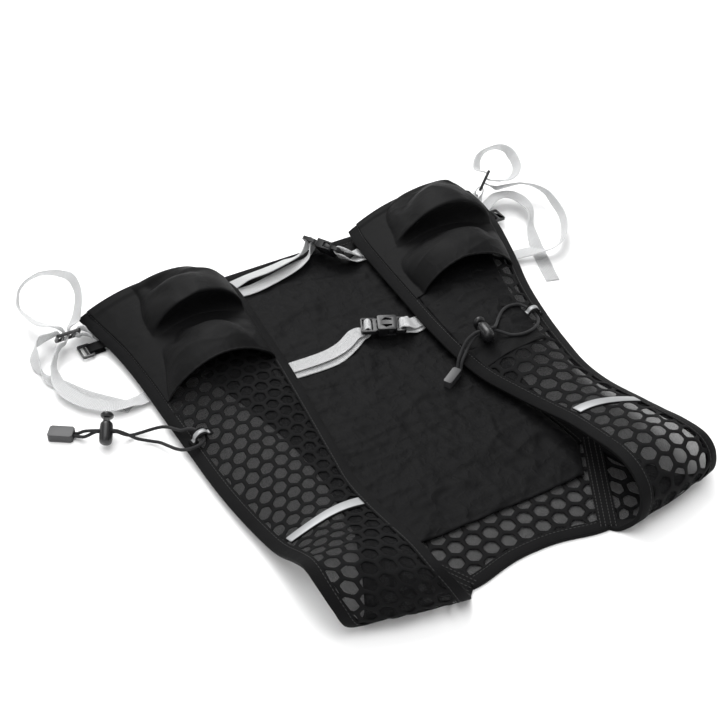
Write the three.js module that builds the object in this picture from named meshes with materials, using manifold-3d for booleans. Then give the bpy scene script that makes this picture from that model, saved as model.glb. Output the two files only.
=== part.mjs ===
// A running hydration vest, laid out on its back with the neck towards -Y and the waist towards +Y.
// The back panel lies flat. Each front panel leaves it at a shoulder seam, folds over at the shoulder
// and lies on top, with a gathered flask pocket at its waist end. Two chest straps and two side straps
// close it. Millimetres, +Z up, origin on the flat underside of the back panel. +X is the wearer's right.
import * as THREE from "three";
import Module from "manifold-3d";
import { mergeVertices } from "three/addons/utils/BufferGeometryUtils.js";

const wasm = await Module();
wasm.setup();

// Driving sizes
const halfLength = 200; // half of the way from the waist hem to the front of the shoulder folds
const halfSpan = 185; // the midline to the outer edge of a front panel at the waist
const shoulderLift = 40; // the top of a shoulder fold above the ground
const panelCrown = 18; // how far a front panel arches above its edges at the waist
const pocketRise = 20; // how far a flask pocket stands above its front panel
const meshWall = 1.2; // hexagon mesh of the panels
const clothWall = 1; // woven cloth of the back sleeve and the pockets
const tapeWall = 0.8; // binding tape, seam tape and tabs
const bindingWidth = 9;
const seamTapeWidth = 14;
const gap = 0.3; // between pieces that touch
const webWidth = 12;
const webWall = 1;
const cordDiameter = 2.5;
const keeperWidth = 10;
const reflectorWidth = 6.5;
const reflectorWall = 0.6;

const lap = meshWall / 2 + gap + tapeWall; // the binding's half thickness over the mesh
const edgeHeight = lap; // the mesh's middle where a binding lies on the ground

// Interpolation, points and solids

// A smooth curve through each named column of a table whose rows are evenly spaced over 0 to 1.
function smoothTable(rows) {
  const names = Object.keys(rows[0]);
  return (share) => {
    const place = Math.min(Math.max(share, 0), 1) * (rows.length - 1);
    const i = Math.min(Math.floor(place), rows.length - 2);
    const f = place - i;
    const out = {};
    for (const name of names) {
      const at = (k) => rows[Math.min(Math.max(k, 0), rows.length - 1)][name];
      const [a, b, c, d] = [at(i - 1), at(i), at(i + 1), at(i + 2)];
      out[name] = b + 0.5 * f * (c - a + f * (2 * a - 5 * b + 4 * c - d + f * (3 * (b - c) + d - a)));
    }
    return out;
  };
}

const vec = (x, y, z) => new THREE.Vector3(x, y, z);
const mix = (a, b, f) => a + (b - a) * f;
const spread = (from, to, steps) => Array.from({ length: steps + 1 }, (_, i) => mix(from, to, i / steps));
const smoothStep = (x) => THREE.MathUtils.smoothstep(x, 0, 1);

function geometryOf(points, faces) {
  const geometry = new THREE.BufferGeometry();
  geometry.setAttribute("position", new THREE.Float32BufferAttribute(points.flatMap((p) => [p.x, p.y, p.z]), 3));
  geometry.setIndex(faces);
  return geometry;
}

// The same geometry on the other side of the midline, with its faces turned to point out again.
function mirrored(geometry) {
  const other = geometry.clone().scale(-1, 1, 1);
  const faces = other.index.array;
  for (let i = 0; i < faces.length; i += 3) [faces[i + 1], faces[i + 2]] = [faces[i + 2], faces[i + 1]];
  return other;
}

// A closed wall between two grids of points of the same size, upper and lower.
function wallBetween(upper, lower) {
  const rows = upper.length;
  const columns = upper[0].length;
  const points = [...upper.flat(), ...lower.flat()];
  const top = (i, j) => i * columns + j;
  const bottom = (i, j) => rows * columns + top(i, j);
  const faces = [];
  const quad = (a, b, c, d) => faces.push(a, b, c, a, c, d);
  for (let i = 0; i < rows - 1; i++) {
    for (let j = 0; j < columns - 1; j++) {
      quad(top(i, j), top(i, j + 1), top(i + 1, j + 1), top(i + 1, j));
      faces.push(bottom(i, j), bottom(i + 1, j + 1), bottom(i, j + 1));
      faces.push(bottom(i, j), bottom(i + 1, j), bottom(i + 1, j + 1));
    }
    quad(top(i, 0), top(i + 1, 0), bottom(i + 1, 0), bottom(i, 0));
    quad(top(i + 1, columns - 1), top(i, columns - 1), bottom(i, columns - 1), bottom(i + 1, columns - 1));
  }
  for (let j = 0; j < columns - 1; j++) {
    quad(top(0, j + 1), top(0, j), bottom(0, j), bottom(0, j + 1));
    quad(top(rows - 1, j), top(rows - 1, j + 1), bottom(rows - 1, j + 1), bottom(rows - 1, j));
  }
  return geometryOf(points, faces);
}

// A closed solid through rings of points. The section is the ring's outline in a plane, for the end caps.
// The sides from one on are split along their other diagonal, to lie flat against a wall's own triangles.
function loft(rings, section, otherFrom = Infinity) {
  const n = section.length;
  const faces = [];
  for (let i = 0; i < rings.length - 1; i++) {
    for (let j = 0; j < n; j++) {
      const k = (j + 1) % n;
      const [a, b, c, d] = [i * n + j, i * n + k, (i + 1) * n + k, (i + 1) * n + j];
      if (j < otherFrom) faces.push(a, b, c, a, c, d);
      else faces.push(a, b, d, b, c, d);
    }
  }
  const last = (rings.length - 1) * n;
  for (const [a, b, c] of THREE.ShapeUtils.triangulateShape(section, [])) {
    faces.push(a, c, b, last + a, last + b, last + c);
  }
  return geometryOf(rings.flat(), faces);
}

// The folded tape of a binding, as its outline across the edge: how far in from the edge, and how high.
function bindingSection() {
  const [out, inside] = [lap, lap - tapeWall];
  return [
    [-gap - tapeWall, out], [-gap - tapeWall, -out], [bindingWidth, -out], [bindingWidth, -inside],
    [-gap, -inside], [-gap, inside], [bindingWidth, inside], [bindingWidth, out],
  ].map(([x, y]) => new THREE.Vector2(x, y));
}

// A flat solid with an outline in XY, centred on its thickness, and the same with openings cut through it.
const slab = (outline, thickness) => solidOf(
  new THREE.ExtrudeGeometry(new THREE.Shape(outline), { depth: thickness, bevelEnabled: false })
    .translate(0, 0, -thickness / 2));
const plate = (outline, openings, thickness) => openings.reduce(
  (solid, opening) => solid.subtract(slab(opening, 4 * thickness)), slab(outline, thickness));

// A rectangle's corners, cut off at 45 degrees if asked.
function rectangle(x0, x1, y0, y1, cut = 0) {
  const corners = cut
    ? [[x0 + cut, y0], [x1 - cut, y0], [x1, y0 + cut], [x1, y1 - cut],
       [x1 - cut, y1], [x0 + cut, y1], [x0, y1 - cut], [x0, y0 + cut]]
    : [[x0, y0], [x1, y0], [x1, y1], [x0, y1]];
  return corners.map(([x, y]) => new THREE.Vector2(x, y));
}

// A tape or web with a rectangular section. Each station is a place (x, y, z) and the direction of the
// width (a, b, c). What would sink into the ground rests on it instead.
const cornersOfUnit = rectangle(-1, 1, -1, 1);
const groundGap = 0.05;

function ribbon(stations, stepsEach, width, wall) {
  const path = new THREE.CatmullRomCurve3(stations.map(([x, y, z]) => vec(x, y, z)), false, "centripetal");
  const last = stations.length - 1;
  const rings = spread(0, 1, last * stepsEach).map((share) => {
    const i = Math.min(Math.floor(share * last + 1e-9), last - 1);
    const f = share * last - i;
    const direction = (row) => vec(row[3], row[4], row[5]);
    const along = path.getTangent(share);
    const across = direction(stations[i]).lerp(direction(stations[i + 1]), f);
    across.addScaledVector(along, -across.dot(along)).normalize();
    const up = along.clone().cross(across).normalize();
    const corners = cornersOfUnit.map(({ x, y }) => path.getPoint(share)
      .addScaledVector(across, (x * width) / 2)
      .addScaledVector(up, (y * wall) / 2));
    const sunk = Math.max(0, groundGap - Math.min(...corners.map((corner) => corner.z)));
    return corners.map((corner) => corner.add(vec(0, 0, sunk)));
  });
  return loft(rings, cornersOfUnit);
}

function solidOf(geometry) {
  const bare = geometry.clone();
  bare.deleteAttribute("normal");
  bare.deleteAttribute("uv");
  const merged = mergeVertices(bare, 1e-4);
  return new wasm.Manifold(new wasm.Mesh({
    numProp: 3,
    vertProperties: merged.attributes.position.array,
    triVerts: new Uint32Array(merged.index.array),
  }));
}

function geometryOfSolid(solid) {
  const mesh = solid.getMesh();
  const geometry = new THREE.BufferGeometry();
  geometry.setAttribute("position", new THREE.BufferAttribute(new Float32Array(mesh.vertProperties), 3));
  geometry.setIndex(new THREE.BufferAttribute(new Uint32Array(mesh.triVerts), 1));
  return geometry;
}

const cloth = (color, roughness) => new THREE.MeshStandardMaterial({ color, roughness, metalness: 0 });
const materials = {
  mesh: cloth(0x17181a, 0.85),
  woven: cloth(0x1b1c1e, 0.75),
  stretch: cloth(0x151617, 0.7),
  tape: cloth(0x131415, 0.8),
  web: cloth(0xe4e5e6, 0.8),
  plastic: cloth(0x0f1011, 0.45),
  reflector: cloth(0xb9bbbd, 0.4),
  cord: cloth(0x18191b, 0.7),
};

const vest = new THREE.Group();
function add(name, geometry, material, matrix) {
  const mesh = new THREE.Mesh(geometry, material);
  mesh.name = name;
  if (matrix) mesh.applyMatrix4(matrix);
  vest.add(mesh);
}

// Back panel: hexagon mesh, flat on the ground, its edges raised into their bindings

const backWaist = halfLength; // the waist edge
const backNeck = -0.92 * halfLength; // the neck edge on the midline
const neckCorner = { x: 0.297 * halfSpan, y: -0.96 * halfLength }; // where the neck meets a shoulder seam
const seamCorner = { x: 0.53 * halfSpan, y: -0.56 * halfLength }; // where a shoulder seam meets the armhole
// The armhole from the waist to the shoulder seam, as shares of halfSpan.
const armhole = smoothTable([{ x: 0.746 }, { x: 0.69 }, { x: 0.61 }, { x: 0.53 }, { x: 0.5 }, { x: 0.53 }]);

function backHalfWidth(y) {
  if (y > seamCorner.y) return armhole((backWaist - y) / (backWaist - seamCorner.y)).x * halfSpan;
  return mix(seamCorner.x, neckCorner.x, (seamCorner.y - y) / (seamCorner.y - neckCorner.y));
}

// The neck edge dips from its middle to the shoulder seams.
const neckY = (x) => mix(backNeck, neckCorner.y, smoothStep(Math.abs(x) / neckCorner.x) ** 1.5);

// A point of the back panel: share 0 at the waist to 1 at the neck, side -1 to 1 across, and how far in
// from that side's edge.
function backPlace(share, side, inset = 0) {
  const level = mix(backWaist, neckCorner.y, share);
  const half = backHalfWidth(level) - inset;
  const x = side * half;
  const dip = (neckY(x) - neckCorner.y) * smoothStep((share - 0.8) / 0.2);
  return { x, y: level + dip };
}

const backReach = backWaist - neckCorner.y;
const rimWidth = bindingWidth + 2; // the raised rim that the bindings hold
const rimShare = rimWidth / backReach;
const backRows = [0, rimShare, ...spread(0.1, 0.9, 8), 1 - rimShare, 1];
const backColumns = 10;

// How far the back mesh rises from the ground to reach its bindings, 0 in the middle to 1 at an edge.
const rimRow = (i) => (i < 2 || i > backRows.length - 3 ? 1 : 0);

function backGrid(height, rise) {
  return backRows.map((share, i) => {
    const row = [];
    for (let j = 0; j <= backColumns; j++) {
      const rim = rimRow(i) || j < 2 || j > backColumns - 2;
      let place;
      if (j < 2) place = backPlace(share, -1, j * rimWidth);
      else if (j > backColumns - 2) place = backPlace(share, 1, (backColumns - j) * rimWidth);
      else place = backPlace(share, mix(-1, 1, (j - 1) / (backColumns - 2)), rimWidth);
      row.push(vec(place.x, place.y, (rim ? rise : meshWall / 2) + height));
    }
    return row;
  });
}

// The grid's rows run from +Y to -Y and its columns from -X to +X, so the upper grid is the lower one here.
const backPanel = wallBetween(backGrid(-meshWall / 2, edgeHeight), backGrid(meshWall / 2, edgeHeight));
add("back_panel", backPanel, materials.mesh);

// Sleeve for the water bladder: woven cloth over the back mesh, open towards the neck

const sleeveMouth = -0.71 * halfLength;
const sleeveInset = bindingWidth + 1.5;
// Soft waves that run across the sleeve, as shares of the sleeve's length and heights in millimetres.
const sleeveWaves = [
  { at: 0.16, wide: 0.05, high: 1.1 },
  { at: 0.38, wide: 0.06, high: 0.8 },
  { at: 0.6, wide: 0.05, high: 1.2 },
  { at: 0.83, wide: 0.06, high: 1 },
];

function sleeveGrid(height) {
  const reach = backWaist - sleeveInset - sleeveMouth;
  return spread(0, 1, 16).map((share) => {
    const y = backWaist - sleeveInset - share * reach;
    const half = backHalfWidth(y) - sleeveInset;
    return spread(-1, 1, 8).map((side) => {
      const edge = 1 - side ** 4;
      const wave = sleeveWaves.reduce(
        (sum, w) => sum + w.high * Math.exp(-(((share - w.at + 0.06 * side) / w.wide) ** 2)), 0);
      // The sleeve climbs over the sloping rim of the mesh at its sides and waist.
      const rim = Math.max(Math.abs(side) ** 3, smoothStep(1 - share * 14));
      const floor = meshWall + gap + rim * (edgeHeight - meshWall / 2 + 0.2);
      return vec(side * half, y, floor + clothWall / 2 + wave * edge + height);
    });
  });
}
add("back_sleeve", wallBetween(sleeveGrid(-clothWall / 2), sleeveGrid(clothWall / 2)), materials.woven);

// Bindings of the back panel: folded tape round the neck, the waist and each armhole

const section = bindingSection();

// A binding along a path on the ground. Each station has a place and the direction into the panel.
function flatBinding(stations) {
  const rings = stations.map(({ x, y, inX, inY }) =>
    section.map((corner) => vec(x + inX * corner.x, y + inY * corner.x, edgeHeight + corner.y)));
  return loft(rings, section);
}

const neckInner = neckCorner.x - rimWidth;
const neckEnd = neckCorner.x - gap - 1;
const neckStations = [-neckEnd, ...spread(-neckInner, neckInner, backColumns - 2), neckEnd];
add("neck_binding", flatBinding(neckStations.map((x) => {
  const along = neckCorner.x * 0.01;
  const slope = (neckY(x + along) - neckY(x - along)) / (2 * along);
  const length = Math.hypot(1, slope);
  return { x, y: neckY(x), inX: -slope / length, inY: 1 / length };
})), materials.tape);

const waistHalf = backHalfWidth(backWaist);
add("waist_binding", flatBinding(spread(1, -1, 2).map((side) => (
  { x: side * waistHalf, y: backWaist, inX: 0, inY: -1 }))), materials.tape);

function armholeBinding() {
  const first = backWaist - bindingWidth - 1.5;
  const last = seamCorner.y + gap + 1;
  const rows = backRows.map((share) => mix(backWaist, neckCorner.y, share)).reverse();
  const between = rows.filter((y) => y > last + 2 && y < first - 2);
  return flatBinding([last, ...between, first].map((y) => {
    const slope = (backHalfWidth(y + 1) - backHalfWidth(y - 1)) / 2;
    const length = Math.hypot(1, slope);
    return { x: backHalfWidth(y), y, inX: -1 / length, inY: slope / length };
  }));
}
add("armhole_binding_right", armholeBinding(), materials.tape);
add("armhole_binding_left", mirrored(armholeBinding()), materials.tape);

// Front panels: each starts at its shoulder seam, folds over and runs to the waist.
// A row is a section across the panel, from its inner edge to its outer edge. The x columns are shares
// of halfSpan, the y columns of halfLength, the z columns of shoulderLift and the crown of panelCrown.
const seamHeight = edgeHeight / shoulderLift;
const seamInner = { x: neckCorner.x / halfSpan + 0.008, y: neckCorner.y / halfLength };
const seamOuter = { x: seamCorner.x / halfSpan + 0.008, y: seamCorner.y / halfLength - 0.004 };
const frontRows = {
  right: [
    { ix: seamInner.x, iy: seamInner.y, iz: seamHeight, ox: seamOuter.x, oy: seamOuter.y, oz: seamHeight, crown: 0 },
    { ix: 0.32, iy: -0.975, iz: seamHeight, ox: 0.62, oy: -0.74, oz: seamHeight, crown: 0 },
    { ix: 0.34, iy: -0.992, iz: 0.1, ox: 0.705, oy: -0.885, oz: 0.09, crown: 0 },
    { ix: 0.378, iy: -1.018, iz: 0.35, ox: 0.79, oy: -0.94, oz: 0.28, crown: 0.1 },
    { ix: 0.405, iy: -0.998, iz: 0.7, ox: 0.82, oy: -0.92, oz: 0.56, crown: 0.2 },
    { ix: 0.42, iy: -0.925, iz: 0.92, ox: 0.824, oy: -0.86, oz: 0.73, crown: 0.25 },
    { ix: 0.427, iy: -0.825, iz: 0.95, ox: 0.815, oy: -0.765, oz: 0.7, crown: 0.3 },
    { ix: 0.427, iy: -0.7, iz: 0.82, ox: 0.805, oy: -0.65, oz: 0.55, crown: 0.35 },
    { ix: 0.427, iy: -0.55, iz: 0.62, ox: 0.79, oy: -0.52, oz: 0.4, crown: 0.4 },
    { ix: 0.416, iy: -0.4, iz: 0.38, ox: 0.763, oy: -0.38, oz: 0.3, crown: 0.45 },
    { ix: 0.376, iy: -0.26, iz: 0.3, ox: 0.746, oy: -0.25, oz: 0.3, crown: 0.5 },
    { ix: 0.334, iy: -0.11, iz: 0.25, ox: 0.762, oy: -0.1, oz: 0.3, crown: 0.55 },
    { ix: 0.316, iy: 0.06, iz: 0.24, ox: 0.79, oy: 0.06, oz: 0.3, crown: 0.6 },
    { ix: 0.314, iy: 0.27, iz: 0.24, ox: 0.843, oy: 0.27, oz: 0.3, crown: 0.65 },
    { ix: 0.324, iy: 0.49, iz: 0.24, ox: 0.92, oy: 0.48, oz: 0.3, crown: 0.72 },
    { ix: 0.335, iy: 0.71, iz: 0.24, ox: 0.988, oy: 0.69, oz: 0.3, crown: 0.85 },
    { ix: 0.346, iy: 0.88, iz: 0.25, ox: 1.02, oy: 0.86, oz: 0.3, crown: 0.95 },
    { ix: 0.368, iy: 0.985, iz: 0.26, ox: 1.016, oy: 0.98, oz: 0.34, crown: 1 },
  ],
  left: [
    { ix: seamInner.x, iy: seamInner.y, iz: seamHeight, ox: seamOuter.x, oy: seamOuter.y, oz: seamHeight, crown: 0 },
    { ix: 0.32, iy: -0.975, iz: seamHeight, ox: 0.615, oy: -0.74, oz: seamHeight, crown: 0 },
    { ix: 0.338, iy: -0.992, iz: 0.1, ox: 0.708, oy: -0.9, oz: 0.09, crown: 0 },
    { ix: 0.365, iy: -1.024, iz: 0.33, ox: 0.795, oy: -0.925, oz: 0.26, crown: 0.1 },
    { ix: 0.403, iy: -1.008, iz: 0.64, ox: 0.83, oy: -0.9, oz: 0.58, crown: 0.15 },
    { ix: 0.435, iy: -0.95, iz: 0.84, ox: 0.85, oy: -0.83, oz: 0.84, crown: 0.2 },
    { ix: 0.443, iy: -0.84, iz: 0.85, ox: 0.857, oy: -0.755, oz: 0.93, crown: 0.25 },
    { ix: 0.443, iy: -0.7, iz: 0.7, ox: 0.855, oy: -0.67, oz: 0.7, crown: 0.3 },
    { ix: 0.434, iy: -0.53, iz: 0.47, ox: 0.862, oy: -0.56, oz: 0.38, crown: 0.35 },
    { ix: 0.426, iy: -0.37, iz: 0.32, ox: 0.872, oy: -0.44, oz: 0.24, crown: 0.4 },
    { ix: 0.402, iy: -0.21, iz: 0.27, ox: 0.887, oy: -0.29, oz: 0.19, crown: 0.45 },
    { ix: 0.378, iy: -0.05, iz: 0.24, ox: 0.897, oy: -0.12, oz: 0.17, crown: 0.5 },
    { ix: 0.355, iy: 0.12, iz: 0.24, ox: 0.9, oy: 0.07, oz: 0.17, crown: 0.58 },
    { ix: 0.33, iy: 0.32, iz: 0.24, ox: 0.903, oy: 0.29, oz: 0.17, crown: 0.66 },
    { ix: 0.312, iy: 0.52, iz: 0.24, ox: 0.905, oy: 0.5, oz: 0.17, crown: 0.75 },
    { ix: 0.294, iy: 0.72, iz: 0.24, ox: 0.918, oy: 0.7, oz: 0.18, crown: 0.86 },
    { ix: 0.29, iy: 0.87, iz: 0.24, ox: 0.947, oy: 0.86, oz: 0.21, crown: 0.95 },
    { ix: 0.32, iy: 0.96, iz: 0.25, ox: 0.973, oy: 0.985, oz: 0.25, crown: 1 },
  ],
};

// The middle surface of a front panel, worked out on the right-hand side of the midline.
function frontSurface(rows) {
  const table = smoothTable(rows);
  const edge = (share, x, y, z) => {
    const row = table(share);
    return vec(row[x] * halfSpan, row[y] * halfLength, row[z] * shoulderLift);
  };
  const inner = (share) => edge(share, "ix", "iy", "iz");
  const outer = (share) => edge(share, "ox", "oy", "oz");
  const width = (share) => outer(share).distanceTo(inner(share));
  const tiny = 1e-3;
  const middle = (share, across) => {
    const [low, high] = [Math.max(share - tiny, 0), Math.min(share + tiny, 1)];
    const start = inner(share);
    const chord = outer(share).sub(start);
    const along = inner(high).add(outer(high)).sub(inner(low)).sub(outer(low));
    const up = chord.clone().cross(along).normalize();
    const arch = 4 * across * (1 - across) * table(share).crown * panelCrown;
    return start.addScaledVector(chord, across).addScaledVector(up, arch);
  };
  // A point at a share along the panel and a share across it, raised off the middle surface.
  const point = (share, across, height = 0) => {
    const [low, high] = [Math.max(share - tiny, 0), Math.min(share + tiny, 1)];
    const along = middle(high, across).sub(middle(low, across));
    const sideways = middle(share, across + tiny).sub(middle(share, across - tiny));
    const normal = sideways.cross(along).normalize();
    return middle(share, across).addScaledVector(normal, height);
  };
  // The share along the panel where an edge is at a given y, on the stretch above the shoulder fold.
  const shareAt = (y) => {
    let [low, high] = [0.4, 1];
    for (let i = 0; i < 30; i++) {
      const half = (low + high) / 2;
      if (middle(half, 0.5).y < y) low = half;
      else high = half;
    }
    return low;
  };
  return { inner, outer, width, point, shareAt };
}

const fronts = { right: frontSurface(frontRows.right), left: frontSurface(frontRows.left) };
const rowCount = frontRows.right.length - 1;
// Three steps a row round the shoulder fold and fewer on the flatter stretch.
const frontShares = [...spread(0, 7 / rowCount, 21), ...spread(7 / rowCount, 1, 12).slice(1)];
const acrossSteps = 5;

// The shares across a front panel where its grid lines lie: each edge, the rim its binding holds, and between.
function acrossLines(front, share) {
  const rim = rimWidth / front.width(share);
  return [0, ...spread(rim, 1 - rim, acrossSteps), 1];
}

// The length of a front panel's waist end per share along it, and the share where its hem's rim begins.
const endReach = (front) => front.point(1, 0.5).distanceTo(front.point(0.98, 0.5)) / 0.02;
const hemShare = (front) => 1 - rimWidth / endReach(front);

function frontGrid(front, height) {
  const shares = [...frontShares.filter((share) => share < hemShare(front) - 0.01), hemShare(front), 1];
  return shares.map((share) => acrossLines(front, share).map((across) => front.point(share, across, height)));
}

// A binding round the inner edge (side 0) or the outer edge (side 1) of a front panel.
function frontBinding(front, side) {
  const first = 0.3 / rowCount;
  const near = frontShares.filter((share) => share > first && share < hemShare(front) - 0.01);
  const shares = [first, ...near, hemShare(front), 1];
  const rings = shares.map((share) => {
    const rim = rimWidth / front.width(share);
    return section.map((corner) => front.point(share, side, corner.y)
      .lerp(front.point(share, side ? 1 - rim : rim, corner.y), corner.x / rimWidth));
  });
  return loft(side ? rings : rings.reverse(), section, 4);
}

// The tape folded round the waist end of a front panel, between its side bindings.
function hemBinding(front) {
  const end = (bindingWidth + 2 * gap) / front.width(1);
  const lines = [end, ...acrossLines(front, 1).slice(1, -1), 1 - end];
  const rings = lines.map((across) => section.map((corner) => front.point(1, across, corner.y)
    .lerp(front.point(hemShare(front), across, corner.y), corner.x / rimWidth)));
  return loft(rings.reverse(), section);
}

// Flask pockets: stretch cloth gathered into folds, open towards the shoulder

// How full a pocket is along its length, from its mouth to its waist end.
const pocketFill = smoothTable([
  { full: 1 }, { full: 1 }, { full: 1 }, { full: 0.9 }, { full: 0.75 }, { full: 0.6 }, { full: 0 },
]);
// Each fold is a ridge or a valley from one place to another. The along columns are shares from the mouth
// to the waist, the across columns shares from the inner edge to the outer, bend shares of the fold's own
// length, wide shares of the pocket's width and high shares of pocketRise.
const pocketFolds = {
  right: [
    { along0: 0.2, across0: 0.05, along1: 0.22, across1: 0.95, bend: 0.25, wide: 0.1, high: 0.26 },
    { along0: 0.34, across0: 0.12, along1: 0.36, across1: 0.8, bend: 0.1, wide: 0.11, high: -0.3 },
    { along0: 0.5, across0: 0.08, along1: 0.42, across1: 0.92, bend: 0.28, wide: 0.08, high: 0.3 },
    { along0: 0.62, across0: 0.3, along1: 0.56, across1: 0.95, bend: 0.1, wide: 0.09, high: -0.24 },
    { along0: 0.8, across0: 0.2, along1: 0.72, across1: 0.85, bend: 0.08, wide: 0.09, high: 0.16 },
  ],
  left: [
    { along0: 0.14, across0: 0.08, along1: 0.1, across1: 0.9, bend: 0.22, wide: 0.1, high: 0.2 },
    { along0: 0.3, across0: 0.3, along1: 0.3, across1: 0.72, bend: -0.1, wide: 0.13, high: -0.16 },
    { along0: 0.44, across0: 0.04, along1: 0.36, across1: 0.9, bend: 0.24, wide: 0.09, high: 0.32 },
    { along0: 0.55, across0: 0.1, along1: 0.5, across1: 0.62, bend: 0.12, wide: 0.1, high: -0.3 },
    { along0: 0.72, across0: 0.12, along1: 0.62, across1: 0.8, bend: 0.16, wide: 0.09, high: 0.18 },
    { along0: 0.84, across0: 0.6, along1: 0.62, across1: 0.84, bend: 0.05, wide: 0.08, high: -0.18 },
  ],
};

// The height of all the folds at a place on the pocket.
function foldHeight(folds, along, across) {
  return folds.reduce((sum, fold) => {
    const [dx, dy] = [fold.across1 - fold.across0, fold.along1 - fold.along0];
    const length2 = dx * dx + dy * dy;
    const raw = ((across - fold.across0) * dx + (along - fold.along0) * dy) / length2;
    const f = Math.min(Math.max(raw, 0), 1);
    const bow = fold.bend * Math.sqrt(length2) * 4 * f * (1 - f);
    const far = Math.hypot(across - fold.across0 - f * dx, along - fold.along0 - f * dy - bow);
    const fade = Math.sin(Math.PI * Math.min(Math.max(f, 0.08), 0.92)) ** 0.5;
    return sum + fold.high * fade * Math.exp(-((far / fold.wide) ** 2));
  }, 0);
}

const pocketMouth = { right: 0.41, left: 0.35 }; // as shares of halfLength, above the middle
const pocketBase = meshWall / 2 + gap + clothWall / 2;

function pocketGrid(side, height) {
  const front = fronts[side];
  const mouth = front.shareAt(pocketMouth[side] * halfLength);
  const last = 1 - (bindingWidth + 2 * gap) / endReach(front);
  const alongShares = [...spread(0, 0.86, 11), 0.93, 0.97, 1];
  return alongShares.map((along) => {
    const share = mix(mouth, last, along);
    const border = (bindingWidth + 2 * gap) / front.width(share);
    return spread(0, 1, 12).map((f) => {
      // The grid lines lie closer together at the sides, where the pocket climbs.
      const across = mix(border, 1 - border, f);
      const dome = Math.sin(Math.PI * f) ** 0.65;
      const full = pocketFill(along).full;
      const folds = foldHeight(pocketFolds[side], along, f) * Math.min(1, 3 * dome * dome) * Math.min(1, 2.5 * full);
      const rise = Math.max(0, pocketRise * (full * dome + folds));
      return front.point(share, across, pocketBase + rise + height);
    });
  });
}

// What lies on a front panel: the keeper tape for a drinking tube, its reflector, and the tab of a cord

const keeperRows = { right: { inner: 0.482, outer: 0.447 }, left: { inner: 0.474, outer: 0.47 } };

// A station on a front panel, with the width's direction along the panel.
function stationOn(front, share, across, height) {
  const at = front.point(share, across, height);
  const run = front.point(share + 0.01, across, height).sub(at).normalize();
  return [at.x, at.y, at.z, run.x, run.y, run.z];
}

// A strip across a front panel, from one height over its middle surface to another.
function stripAcross(side, bottom, top, width) {
  const front = fronts[side];
  const { inner, outer } = keeperRows[side];
  const border = (bindingWidth + 1.5) / front.width(inner);
  const half = width / 2 / front.point(inner + 0.5 / rowCount, 0.5).distanceTo(front.point(inner - 0.5 / rowCount, 0.5));
  const grid = (height) => spread(-half, half, 2).map((step) => spread(border, 1 - border, 6).map(
    (across) => front.point(mix(inner, outer, across) + step / rowCount, across, height)));
  return wallBetween(grid(top), grid(bottom));
}

// A tab's place has y as a share of halfLength. Its arch: steps across the panel as shares of its width, and heights in millimetres.
const tabPlaces = { right: { y: 0.09, across: 0.856 }, left: { y: 0.115, across: 0.878 } };
const tabArch = [[-0.085, 1.5], [-0.055, 1.6], [-0.04, 5], [0, 6.8], [0.035, 5.6], [0.05, 3.2], [0.085, 2.9]];
const tabWidth = 8;

function tab(side) {
  const { y, across } = tabPlaces[side];
  const share = fronts[side].shareAt(y * halfLength);
  return ribbon(tabArch.map(([step, height]) => stationOn(fronts[side], share, across + step, height)),
    2, tabWidth, tapeWall);
}

for (const side of ["right", "left"]) {
  const turn = side === "left" ? mirrored : (geometry) => geometry;
  const front = fronts[side];
  const half = meshWall / 2;
  add(`front_panel_${side}`, turn(wallBetween(frontGrid(front, half), frontGrid(front, -half))), materials.mesh);
  add(`inner_binding_${side}`, turn(frontBinding(front, 0)), materials.tape);
  add(`outer_binding_${side}`, turn(frontBinding(front, 1)), materials.tape);
  add(`hem_binding_${side}`, turn(hemBinding(front)), materials.tape);
  add(`pocket_${side}`, turn(wallBetween(pocketGrid(side, clothWall / 2), pocketGrid(side, -clothWall / 2))),
    materials.stretch);
  const keeper = half + gap + (side === "left" ? 0.6 : 0.1); // the left panel dips under its strip
  add(`keeper_tape_${side}`, turn(stripAcross(side, keeper, keeper + webWall, keeperWidth)), materials.tape);
  const reflector = keeper + webWall + gap;
  add(`reflector_${side}`, turn(stripAcross(side, reflector, reflector + reflectorWall, reflectorWidth)),
    materials.reflector);
  add(`cord_tab_${side}`, turn(tab(side)), materials.tape);
}

// Shoulder seam tapes: each covers the seam between the back panel and a front panel

function seamTape() {
  const height = edgeHeight + meshWall / 2 + gap + tapeWall / 2 + 0.1;
  const along = vec(neckCorner.x - seamCorner.x, neckCorner.y - seamCorner.y, 0).normalize();
  const stations = spread(0.22, 0.84, 5).map((share) => [
    mix(seamCorner.x, neckCorner.x, share) + 0.8, mix(seamCorner.y, neckCorner.y, share), height,
    along.y, -along.x, 0,
  ]);
  return ribbon(stations, 1, seamTapeWidth, tapeWall);
}
add("seam_tape_right", seamTape(), materials.tape);
add("seam_tape_left", mirrored(seamTape()), materials.tape);

// Fittings: each has its own frame, with X across its slots, Y along them and Z through its thickness

function placed(centre, alongX, alongY) {
  const x = vec(...alongX).normalize();
  const y = vec(...alongY);
  y.addScaledVector(x, -y.dot(x)).normalize();
  return new THREE.Matrix4().makeBasis(x, y, x.clone().cross(y)).setPosition(...centre);
}

// A web's station at (x, z) in a fitting's frame, its width along the fitting's slots one way or the other.
function stationIn(matrix, x, z, way = 1) {
  const at = vec(x, 0, z).applyMatrix4(matrix);
  const across = vec(0, way, 0).transformDirection(matrix);
  return [at.x, at.y, at.z, across.x, across.y, across.z];
}

const slotAt = (x, width, length) => rectangle(x - width / 2, x + width / 2, -length / 2, length / 2);
const block = (x0, x1, y0, y1, wall, cut = 0) => slab(rectangle(x0, x1, y0, y1, cut), wall);

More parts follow.
